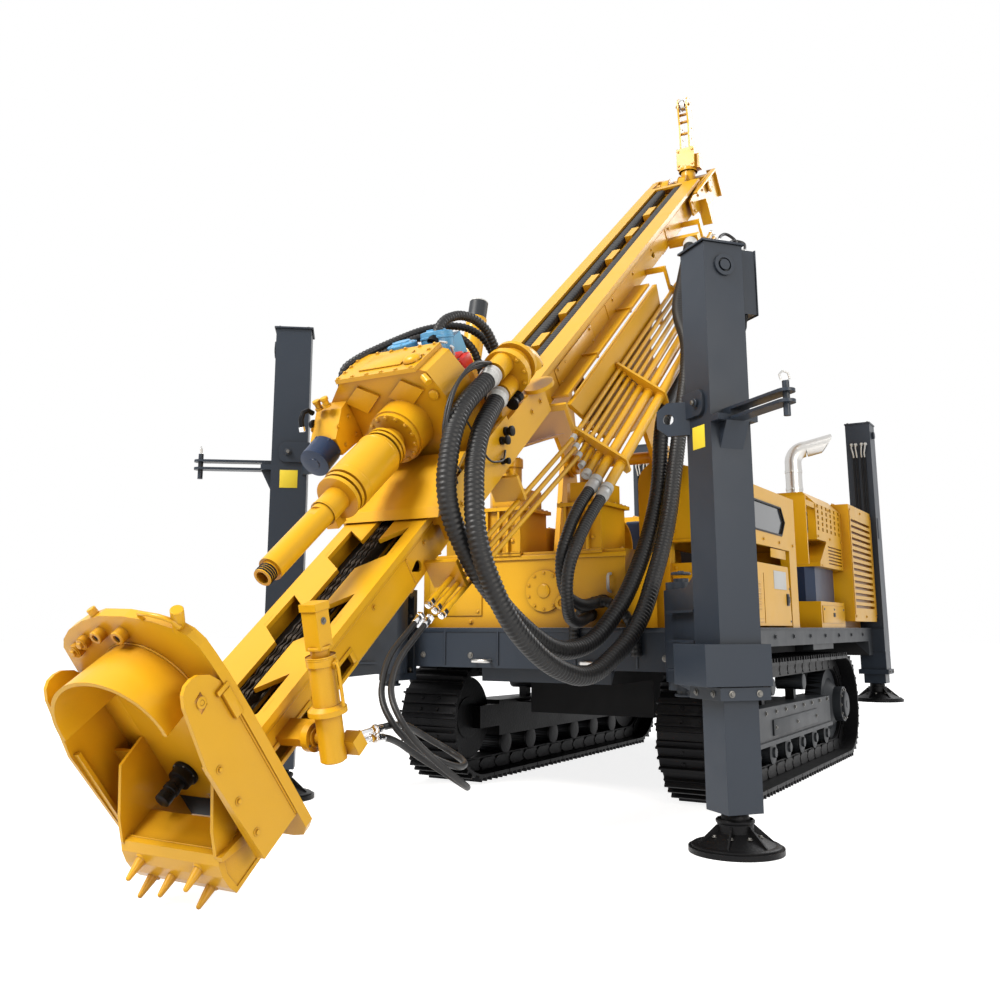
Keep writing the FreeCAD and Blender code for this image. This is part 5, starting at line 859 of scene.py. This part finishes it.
for side, place in LEGS.items():
    sleeve = Piece(DARK, BOLT, LABEL, BLACK, STEEL)
    sleeve.block((-0.117, -0.117, 2.738), (0.117, 0.117, 2.7505), 0.004)
    sleeve.use(1).bolts([(x, y, 2.7505) for x, y in CORNERS], N_AXIS, 0.009)
    sleeve.use(2).block((-0.052, -0.1072, 1.762), (0.052, -0.1052, 1.868), 0.0008)
    sleeve.use(0).plate([(-0.118, -0.105, 1.915), (0.03, -0.105, 1.915), (0.052, -0.105, 1.928), (0.062, -0.105, 1.952),
                         (0.062, -0.105, 1.998), (0.052, -0.105, 2.022), (0.03, -0.105, 2.035),
                         (-0.118, -0.105, 2.035)], (0, -0.014, 0))
    sleeve.rod((0.008, -0.119, 1.975), (0.008, -0.134, 1.975), 0.02, 20)
    sleeve.use(1)
    sleeve.bolt((0.008, -0.1335, 1.975), FRONT, 0.012, washer=False)
    # Lid of the cable box
    sleeve.use(0).block((-0.066, 0.2045, 2.415), (0.066, 0.2105, 2.745), 0.003)
    sleeve.use(1)
    sleeve.bolts([(x, 0.2103, z) for x in (-0.052, 0.052) for z in (2.435, 2.58, 2.725)], U_AXIS, 0.0055, washer=False)
    sleeve.use(3)
    for x in (-0.035, 0.0, 0.035):
        sleeve.lathe((x, 0.155, 2.42), DOWN, disc(0.014, 0.016, 0.018, 0.01) + [(0.03, 0.01)], 12)
        sleeve.pipe([(x, 0.155, 2.395), (x, 0.152, 2.36), (x * 0.8, 0.135, 2.31), (x * 0.6, 0.118, 2.25),
                     (x * 0.6, 0.1135, 2.15), (x * 0.6, 0.1135, 1.4)], 0.0075, 8)
    for z in (2.2, 1.95, 1.7, 1.45):
        sleeve.use(4).block((-0.034, 0.1045, z), (0.034, 0.1225, z + 0.014), 0.002)
    # Cheek bolts of the guide at the lower end
    sleeve.use(1)
    for k in (-0.07, 0.07):
        for a, b, d in ((k, -0.127, FRONT), (0.127, k, X_DIR), (-0.127, k, LEFT), (k, 0.127, U_AXIS)):
            sleeve.bolt((a, b, 0.668), d, 0.01)
    sleeve.circle((0.1085, 0, 2.63), X_DIR, 0.043, evenly(6), 0.005, washer=False)
    # Latch pins
    sleeve.use(4)
    sleeve.pipe([(0.525, y, z) for y, z in ((-0.022, 1.972), (-0.03, 1.995), (-0.012, 2.012), (0.014, 2.006),
                                            (0.022, 1.982), (0.008, 1.968))], 0.0045, 8)
    sleeve.done("front_leg_trim_" + side, "swing_leg_" + side, place)

    low = Piece(BLACK, BOLT, DARK)
    low.lathe((0, 0, 0.0215), N_AXIS, PAD_RING, 40)
    low.use(1).bolts([p - Vector((0, 0, 0.028)) for p in around((0, 0, 0.0945), X_DIR, U_AXIS, 0.105, evenly(8))],
                     N_AXIS, 0.009)
    low.use(0)
    ribs(low, 0, 0, 0.0)
    low.lathe((0, 0, 0.118), N_AXIS, [(0, 0.08), (0.006, 0.084), (0.014, 0.084), (0.02, 0.078)], 32, caps=False)
    low.done("front_pad_trim_" + side, "front_foot_" + side, place)

    arm_place = SHIFT if side == "right" else FLIP @ SHIFT
    arm = Piece(DARK, BOLT)
    arm.lathe((SWING_X, SWING_Y, 1.2195), N_AXIS, disc(0.052, 0.01, 0.014, 0.046) + [(0.014, 0.018), (0.02, 0.016)], 24)
    arm.lathe((SWING_X, SWING_Y, 0.6205), DOWN, disc(0.052, 0.01, 0.014, 0.046) + [(0.014, 0.018)], 24)
    arm.use(1)
    arm.bolts([(x, -0.6115, z) for x in (0.868, 0.982) for z in (0.7, 0.86, 1.02, 1.14)], FRONT, 0.009)
    arm.done("swing_pivot_trim_" + side, "base", arm_place)

    rear = Piece(DARK, BOLT, BLACK, WHITE)
    x0, y0 = 1.035, 3.645
    rear.use(1).bolts([(x0 + dx, y0 + dy, 2.76) for dx, dy in CORNERS], N_AXIS, 0.009)
    for k in (-0.07, 0.07):
        for a, b, d in ((x0 + k, y0 + 0.123, U_AXIS), (x0 + 0.123, y0 + k, X_DIR)):
            rear.bolt((a, b, 0.58), d, 0.009)
    rear.use(0).lathe((x0 + 0.1165, y0, 2.65), X_DIR, disc(0.033, 0.006, 0.009, 0.028) + [(0.009, 0.012)], 24)
    rear.block((x0 + 0.1045, y0 - 0.06, 1.72), (x0 + 0.109, y0 + 0.06, 1.9), 0.002)
    for dx in (-0.055, -0.02, 0.03, 0.062):
        rear.use(3).lathe((x0 + dx, y0 - 0.1048, 2.56), FRONT,
                          disc(0.015, 0.012, 0.014, 0.011) + [(0.03, 0.011), (0.032, 0.008)], 10)
        rear.pipe([(x0 + dx, y0 - 0.13, 2.56), (x0 + dx, y0 - 0.138, 2.53), (x0 + dx * 0.8, y0 - 0.132, 2.48),
                   (x0 + dx * 0.8, y0 - 0.114, 2.44)], 0.0065, 8)
    rear.use(2)
    for dx in (-0.044, -0.016, 0.024, 0.05):
        rear.pipe([(x0 + dx, y0 - 0.114, 2.445), (x0 + dx, y0 - 0.112, 1.8), (x0 + dx, y0 - 0.112, 1.1)], 0.0075, 8)
    rear.done("rear_leg_trim_" + side, "base", arm_place)
    pad = Piece(BLACK, BOLT)
    pad.lathe((x0, y0, 0.3515), N_AXIS, PAD_RING, 40)
    ribs(pad, x0, y0, 0.33)
    pad.use(1)
    pad.circle((x0, y0, 0.3965), N_AXIS, 0.105, evenly(8), 0.009)
    pad.done("rear_pad_trim_" + side, "rear_foot_" + side, arm_place)

# Tracks: shoe bolts, roller caps, wheel details
SHOES, SPAN, WHEEL_R, WHEEL_Y0, WHEEL_Y1 = 36, 2.48, 0.3, -0.08, 2.4
AXLE_Z = WHEEL_R + 0.045 + 0.014 + 0.024
BEND = math.pi * WHEEL_R
LOOP = 2 * SPAN + 2 * BEND
SHOE_PITCH = LOOP / SHOES
# Along the track in pitches, outward in metres
LINK_OUTLINE = ((-0.46, -0.026), (-0.36, -0.036), (0.3, -0.036), (0.46, -0.02), (0.46, 0.02), (0.34, 0.036),
                (-0.34, 0.036), (-0.46, 0.022))


def track_point(t):
    """Place, direction and outward normal at t along the closed loop of a track."""
    q = t % LOOP
    if q < SPAN:
        spot, ahead = (WHEEL_Y1 - q, AXLE_Z - WHEEL_R), (-1.0, 0.0)
    elif q < SPAN + BEND:
        a = (q - SPAN) / WHEEL_R
        spot, ahead = (WHEEL_Y0 - WHEEL_R * math.sin(a), AXLE_Z - WHEEL_R * math.cos(a)), (-math.cos(a), math.sin(a))
    elif q < 2 * SPAN + BEND:
        spot, ahead = (WHEEL_Y0 + q - SPAN - BEND, AXLE_Z + WHEEL_R), (1.0, 0.0)
    else:
        a = (q - 2 * SPAN - BEND) / WHEEL_R
        spot, ahead = (WHEEL_Y1 + WHEEL_R * math.sin(a), AXLE_Z + WHEEL_R * math.cos(a)), (math.cos(a), -math.sin(a))
    return Vector((0, *spot)), Vector((0, *ahead)), Vector((0, -ahead[1], ahead[0]))


for side, place in (("right", SHIFT), ("left", FLIP @ SHIFT)):
    shoes = Piece(BLACK)
    for k in range(SHOES):
        for t in ((k + 0.155) * SHOE_PITCH, (k - 0.155) * SHOE_PITCH):
            mid, ahead, out = track_point(t)
            base = mid + out * 0.0585
            if base.z < 0.03:  # on the ground, out of sight
                continue
            for x in (0.79, 0.91):
                p = base + Vector((x, 0, 0))
                shoes.lathe(p, out, disc(0.0115, 0.007, 0.009, 0.0095), 6)
    shoes.done("track_bolts_" + side, "base", place)

    wheels = Piece(GREY, BOLT, BLACK)
    for y, count in ((WHEEL_Y0, 6), (WHEEL_Y1, 10)):
        wheels.lathe((1.0348, y, AXLE_Z), X_DIR, disc(0.088, 0.004, 0.007, 0.08) + [(0.007, 0.03), (0.011, 0.028)], 32)
        wheels.use(1)
        wheels.circle((1.02, y, AXLE_Z), X_DIR, 0.108, evenly(count), 0.0095)
        wheels.use(0)
    for k in range(6):
        y = WHEEL_Y0 + 0.29 + 0.1 + k * (SPAN - 0.58 - 0.2) / 5
        wheels.lathe((0.9548, y, 0.2), X_DIR, [(0, 0.07), (0.004, 0.073), (0.012, 0.073), (0.016, 0.06), (0.017, 0.032),
                                               (0.03, 0.03), (0.032, 0.02)], 28)
        # Painted shade: the inner caps are black, the outer ones grey
        wheels.use(2).lathe((0.7452, y, 0.2), LEFT,
                            [(0, 0.07), (0.004, 0.073), (0.012, 0.073), (0.016, 0.06), (0.017, 0.02)], 24)
        wheels.use(0)
    for share in (0.3, 0.7):
        y = 0.21 + share * 1.9
        wheels.lathe((0.9398, y, 0.583), X_DIR, disc(0.054, 0.008, 0.011, 0.046) + [(0.011, 0.02)], 24)
    wheels.use(1).bolts([(0.9802, y, 0.44) for y in [0.27 + 0.22 * k for k in range(9)]], X_DIR, 0.01)
    wheels.use(0).block((0.9798, 0.62, 0.3), (0.99, 1.7, 0.395), 0.004)
    wheels.use(1).bolts([(0.99, y, 0.348) for y in (0.66, 1.16, 1.66)], X_DIR, 0.009)
    wheels.done("track_frame_trim_" + side, "base", place)

    links = Piece(BLACK)
    for k in range(SHOES):
        mid, ahead, out = track_point(k * SHOE_PITCH)
        for x0, x1 in ((0.755, 0.7645), (0.9355, 0.945)):
            ring = [mid + ahead * (s * SHOE_PITCH) + out * h for s, h in LINK_OUTLINE]
            links.rings([[p + Vector((x0, 0, 0)) for p in ring], [p + Vector((x1, 0, 0)) for p in ring]])
            links.lathe(mid + ahead * (-0.5 * SHOE_PITCH) + Vector((x0 - 0.004, 0, 0)), X_DIR,
                        disc(0.017, 0.0165, 0.0175, 0.014), 10)
    links.done("track_links_" + side, "base", place)

# Body: canopy, door, guard box, radiator, engine, tank
body = Piece(YELLOW, BOLT, WHITE, BLACK, GREY, SHADE_BLACK)
for y in (0.3, 0.7, 1.1):
    body.block((0.405, y - 0.004, 1.949), (0.59, y + 0.004, 1.952), 0.001)
body.block((0.5, -0.006, 1.452), (1.02, 0.0005, 1.47), 0.002)
body.bolts([(x, -0.0005, 1.52) for x in (0.47, 0.62, 0.8, 0.97)], FRONT, 0.008)
body.bolts([(1.03, y, 1.49) for y in (0.12, 0.45, 0.8, 1.12)], X_DIR, 0.008)
body.block((1.0295, 0.58, 1.385), (1.0345, 0.92, 1.442), 0.002)
# Lamp in the front opening
body.use(2).lathe((0.905, 0.0185, 1.395), FRONT, disc(0.052, 0.016, 0.02, 0.047) + [(0.021, 0.004)], 28)
body.use(3).lathe((0.905, 0.0195, 1.395), FRONT, disc(0.062, 0.012, 0.014, 0.056), 28, caps=False)
body.use(0)
body.bolts([(x, 0.0195, z) for z in (1.02, 1.3) for x in (0.62, 0.95)], FRONT, 0.007)
body.block((0.6, 0.012, 0.99), (0.97, 0.02, 1.27), 0.004)
body.done("canopy_trim", "base", SHIFT)

door = Piece(YELLOW, BLACK, WHITE, BOLT)
door.block((1.0298, 0.085, 0.985), (1.0345, 0.385, 1.0), 0.001)
door.use(2).block((1.0299, 0.63, 1.19), (1.0318, 0.91, 1.305), 0.0008)
door.use(1).block((1.0299, 0.905, 1.09), (1.036, 0.96, 1.165), 0.003)
door.use(3).pipe([(1.036, 0.932, 1.105), (1.042, 0.932, 1.11), (1.0445, 0.932, 1.128), (1.042, 0.932, 1.146),
                  (1.036, 0.932, 1.15)], 0.0035, 8)
door.use(0)
for k in range(6):
    door.block((1.0299, 0.12, 1.06 + 0.03 * k), (1.036, 0.34, 1.072 + 0.03 * k), 0.0025)
door.use(3).bolts([(1.0302, y, z) for y in (0.1, 0.98) for z in (0.99, 1.2)], X_DIR, 0.006, washer=False)
door.done("door_trim", "door_right", SHIFT)

pane_trim = Piece(BLACK)
outline = [(0.08, 1.54), (0.864, 1.54), (0.944, 1.63), (0.864, 1.72), (0.08, 1.72)]
for (y0, z0), (y1, z1) in zip(outline, outline[1:] + outline[:1]):
    pane_trim.pipe([(1.03, y0, z0), (1.03, (y0 + y1) / 2, (z0 + z1) / 2), (1.03, y1, z1)], 0.0065, 8)
pane_trim.done("window_seal", "base", SHIFT)

guard = Piece(YELLOW, BOLT, BLACK, STEEL, SHADE_BLACK)
guard.bolts([(1.03, y, z) for y in (1.86, 2.22, 2.58) for z in (1.615, 1.835)], X_DIR, 0.0075)
guard.bolts([(x, 1.82, 1.9) for x in (0.53, 0.97)], FRONT, 0.0075)
for y in (1.95, 2.52):
    guard.block((1.0295, y - 0.03, 1.402), (1.0335, y + 0.03, 1.412), 0.001)
guard.block((0.56, 1.92, 1.9445), (0.9, 2.14, 1.954), 0.004)
guard.bolts([(x, y, 1.9535) for x, y in ((0.58, 1.94), (0.88, 1.94), (0.58, 2.12), (0.88, 2.12))], N_AXIS, 0.007)
guard.use(3).lathe((0.765, 2.3, 1.9455), N_AXIS, disc(0.082, 0.008, 0.01, 0.078), 32)
for z in (2.02, 2.16):
    guard.lathe((0.765, 2.3, z), N_AXIS, band(0.0645, 0.0675, 0.001, 0.022), 28, caps=False)
    guard.block((0.756, 2.225, z + 0.002), (0.774, 2.242, z + 0.02), 0.002)
guard.use(1).circle((0.765, 2.3, 1.953), N_AXIS, 0.073, evenly(6, 30), 0.005, washer=False)
guard.done("guard_box_trim", "base", SHIFT)

cleaner = Piece(WHITE, BLACK, BOLT)
cleaner.lathe((CLEANER_X, 1.8345, CLEANER_Z), FRONT,
              disc(0.118, 0.004, 0.01, 0.108) + [(0.012, 0.052), (0.02, 0.048), (0.021, 0.02)], 36)
for y in (1.905, 2.06, 2.215):
    cleaner.use(1).lathe((CLEANER_X, y, CLEANER_Z), U_AXIS, band(0.1422, 0.145, 0.001, 0.015), 40, caps=False)
cleaner.use(2)
cleaner.circle((CLEANER_X, 1.83, CLEANER_Z), FRONT, 0.09, evenly(3, 30), 0.008)
cleaner.done("air_cleaner_trim", "base", SHIFT)

cooler = Piece(YELLOW, BOLT, BLACK, SHADE_BLACK)
for s in (-1, 1):
    cooler.bolts([(s * 1.095, y, z) for y in (2.68, 3.08, 3.47) for z in (1.04, 1.89)], (s, 0, 0), 0.008)
    x0, x1 = outward(s, 1.095, 1.1)
    cooler.block((x0, 2.655, 1.055), (x1, 2.672, 1.88), 0.001)
    cooler.block((x0, 3.485, 1.055), (x1, 3.498, 1.88), 0.001)
for k in range(11):
    z = 1.16 + 0.06 * k
    cooler.use(2).block((-0.8, 3.5195, z), (0.8, 3.526, z + 0.03), 0.002)
cooler.use(0)
cooler.bolts([(x, 3.52, z) for x in (-0.82, -0.4, 0.0, 0.4, 0.82) for z in (1.135, 1.795)], U_AXIS, 0.007)
cooler.block((-0.7, 2.8, 1.9295), (0.7, 3.36, 1.94), 0.004)
cooler.bolts([(x, y, 1.94) for x in (-0.67, -0.22, 0.22, 0.67) for y in (2.83, 3.33)], N_AXIS, 0.007)
for x in (-0.9, 0.9):
    cooler.pipe([(x, 2.95, 1.929), (x, 2.95, 1.96), (x, 2.965, 1.972), (x, 3.085, 1.972), (x, 3.1, 1.96),
                 (x, 3.1, 1.929)], 0.009, 10)
cooler.done("radiator_trim", "base", SHIFT)

motor = Piece(NAVY, BOLT, STEEL, BLACK)
for k in range(6):
    y = 1.06 + 0.235 * k
    motor.block((-0.395, y, 1.02), (-0.3795, y + 0.14, 1.46), 0.008)
    motor.block((0.3795, y, 1.02), (0.395, y + 0.14, 1.46), 0.008)
for k in range(5):
    y = 1.22 + 0.21 * k
    motor.block((-0.225, y, 1.6995), (0.225, y + 0.17, 1.73), 0.012)
    motor.use(1).bolts([(x, y + 0.085, 1.73) for x in (-0.18, 0.18)], N_AXIS, 0.009)
    motor.use(0)
motor.use(3).pipe([(0.3, 1.15, 1.56), (0.3, 1.15, 1.62), (0.3, 1.19, 1.655), (0.31, 1.75, 1.655), (0.36, 1.83, 1.655),
                   (0.47, 1.9, 1.66)], 0.045, 16)
motor.use(2)
for y in (1.3, 1.62):
    motor.lathe((0.302, y, 1.655), U_AXIS, band(0.0455, 0.0485, 0.001, 0.02), 24, caps=False)
motor.use(3).lathe((-0.3, 1.35, 1.5605), N_AXIS, [(0, 0.052), (0.01, 0.056), (0.12, 0.056), (0.135, 0.04)], 24)
motor.lathe((-0.3, 1.52, 1.5605), N_AXIS, [(0, 0.052), (0.01, 0.056), (0.12, 0.056), (0.135, 0.04)], 24)
motor.done("engine_trim", "base", SHIFT)

tank = Piece(YELLOW, BOLT, BLACK, STEEL, GLASS)
tank.use(2).lathe((-0.81, 0.2, 1.6705), N_AXIS, disc(0.058, 0.024, 0.03, 0.05) + [(0.031, 0.012)], 24)
for p in around((-0.81, 0.2, 1.678), X_DIR, U_AXIS, 0.0585, evenly(12)):
    tank.lathe(p, N_AXIS, [(0, 0.004), (0.016, 0.004)], 6)
tank.use(0)
tank.use(1).bolts([(-1.0362, y, z) for y in (0.275, 1.205) for z in (1.02, 1.52)], LEFT, 0.009)
tank.use(0).block((-1.0345, 0.42, 1.06), (-1.0295, 1.12, 1.46), 0.006)
tank.use(1).bolts([(-1.0345, y, z) for y in (0.45, 0.77, 1.09) for z in (1.09, 1.43)], LEFT, 0.007)
tank.use(3).block((-1.04, 0.15, 1.1), (-1.03, 0.19, 1.48), 0.003)
tank.use(4).block((-1.0425, 0.16, 1.14), (-1.0395, 0.18, 1.44), 0.001)
tank.use(1)
tank.bolts([(x, y, 1.64) for x in (-0.805, -0.515) for y in (0.55, 0.8, 1.05)], N_AXIS, 0.007)
tank.done("left_tank_trim", "base", SHIFT)

boxes = Piece(YELLOW, BOLT, BLACK, STEEL)
for s, zt in ((1, 1.14), (-1, 1.4)):
    x0, x1 = outward(s, 1.0298, 1.035)
    boxes.block((x0, 1.86, 0.985), (x1, 2.54, zt - 0.03), 0.004)
    boxes.use(1).bolts([(s * 1.035, y, zt - 0.055) for y in (1.89, 2.2, 2.51)], (s, 0, 0), 0.006)
    boxes.use(2).block((x0 + 0.001 if s < 0 else x0, 2.17, 1.03), (x1 + 0.004 if s > 0 else x1, 2.23, 1.06), 0.002)
    boxes.use(0)
boxes.use(3).lathe((0.7, 2.3, 1.3955), N_AXIS, disc(0.04, 0.02, 0.026, 0.034), 20)
boxes.done("side_box_trim", "base", SHIFT)

deck = Piece(GREY, BOLT, DARK, STEEL)
for s in (-1, 1):
    deck.bolts([(s * 1.04, -0.3 + 0.43 * k, 0.895) for k in range(9)], (s, 0, 0), 0.011)
    x0, x1 = outward(s, 1.04, 1.045)
    deck.block((x0, -0.36, 0.936), (x1, 3.5, 0.9495), 0.002)
deck.use(2)
for x in (-0.62, -0.25, 0.25, 0.62):
    deck.block((x - 0.006, -0.6065, 0.735), (x + 0.006, -0.5995, 0.94), 0.002)
deck.block((-0.84, -0.606, 0.925), (0.84, -0.5995, 0.9495), 0.002)
deck.use(1)
deck.bolts([(x, -0.6, 0.79) for x in (-0.78, -0.44, 0.0, 0.44, 0.78)], FRONT, 0.012)
deck.use(3)
for x in (-0.35, 0.35):
    deck.pipe([(x - 0.05, -0.6, 0.76), (x - 0.05, -0.64, 0.76), (x - 0.04, -0.655, 0.76), (x + 0.04, -0.655, 0.76),
               (x + 0.05, -0.64, 0.76), (x + 0.05, -0.6, 0.76)], 0.011, 10)
deck.done("deck_trim", "base", SHIFT)


# Camera and light
camera_data = bpy.data.cameras.new("camera")
camera = bpy.data.objects.new("camera", camera_data)
bpy.context.scene.collection.objects.link(camera)
camera.location = SHIFT @ Vector((2.8025, -5.7, 0.95))
camera.rotation_euler = (math.radians(100.8), 0, math.radians(31.35))
camera_data.sensor_width = 36
camera_data.lens = 36
camera_data.shift_x = 0.01
camera_data.shift_y = -0.063
camera_data.clip_end = 200
bpy.context.scene.camera = camera
bpy.context.scene.view_settings.view_transform = "Standard"


def lamp(name, spot, aim, wide, high, watts, colour=(1, 1, 1)):
    data = bpy.data.lights.new(name, "AREA")
    data.shape = "RECTANGLE"
    data.size = wide
    data.size_y = high
    data.energy = watts
    data.color = colour
    obj = bpy.data.objects.new(name, data)
    bpy.context.scene.collection.objects.link(obj)
    obj.location = spot
    obj.rotation_euler = (Vector(aim) - Vector(spot)).to_track_quat("-Z", "Y").to_euler()


lamp("key", (-5.0, -12.5, 14.0), (0, -0.8, 1.8), 6, 6, 3350, (1.0, 0.97, 0.92))
lamp("fill", (8.5, -5.0, 3.5), (0, 0, 1.5), 5, 3, 360, (1.0, 0.94, 0.84))
lamp("rim", (5.0, 12.0, 11.0), (0, 0, 2.0), 7, 5, 700)


def direct_rays(tree):
    """1 for the camera, glossy and transmission rays, which see the backdrop white."""
    path = tree.nodes.new("ShaderNodeLightPath")
    total = path.outputs["Is Camera Ray"]
    for kind in ("Is Glossy Ray", "Is Transmission Ray"):
        most = tree.nodes.new("ShaderNodeMath")
        most.operation = "MAXIMUM"
        tree.links.new(total, most.inputs[0])
        tree.links.new(path.outputs[kind], most.inputs[1])
        total = most.outputs[0]
    return total


world = bpy.data.worlds.new("studio")
bpy.context.scene.world = world
world.use_nodes = True
tree = world.node_tree
back = tree.nodes["Background"]
back.inputs["Color"].default_value = (1, 1, 1, 1)
back.inputs["Strength"].default_value = 1.0
soft = tree.nodes.new("ShaderNodeBackground")
soft.inputs["Color"].default_value = (0.93, 0.96, 1.0, 1)
soft.inputs["Strength"].default_value = 0.26
blend = tree.nodes.new("ShaderNodeMixShader")
tree.links.new(direct_rays(tree), blend.inputs[0])
tree.links.new(soft.outputs[0], blend.inputs[1])
tree.links.new(back.outputs[0], blend.inputs[2])
tree.links.new(blend.outputs[0], tree.nodes["World Output"].inputs["Surface"])

floor_mesh = bpy.data.meshes.new("floor")
floor_mesh.from_pydata([(-60, -60, 0), (60, -60, 0), (60, 60, 0), (-60, 60, 0)], [], [(0, 1, 2, 3)])
floor = bpy.data.objects.new("floor", floor_mesh)
bpy.context.scene.collection.objects.link(floor)
floor_look = bpy.data.materials.new("floor_pale")
floor_look.use_nodes = True
floor_shader = floor_look.node_tree.nodes["Principled BSDF"]
floor_shader.inputs["Base Color"].default_value = (0.6, 0.6, 0.6, 1)
floor_shader.inputs["Roughness"].default_value = 0.9
floor_shader.inputs["Emission Color"].default_value = (1, 1, 1, 1)
floor_tree = floor_look.node_tree
glow = floor_tree.nodes.new("ShaderNodeMath")
glow.operation = "MULTIPLY"
glow.inputs[1].default_value = 0.85
floor_tree.links.new(direct_rays(floor_tree), glow.inputs[0])
floor_tree.links.new(glow.outputs[0], floor_shader.inputs["Emission Strength"])
floor_mesh.materials.append(floor_look)
floor.location.z = -0.001
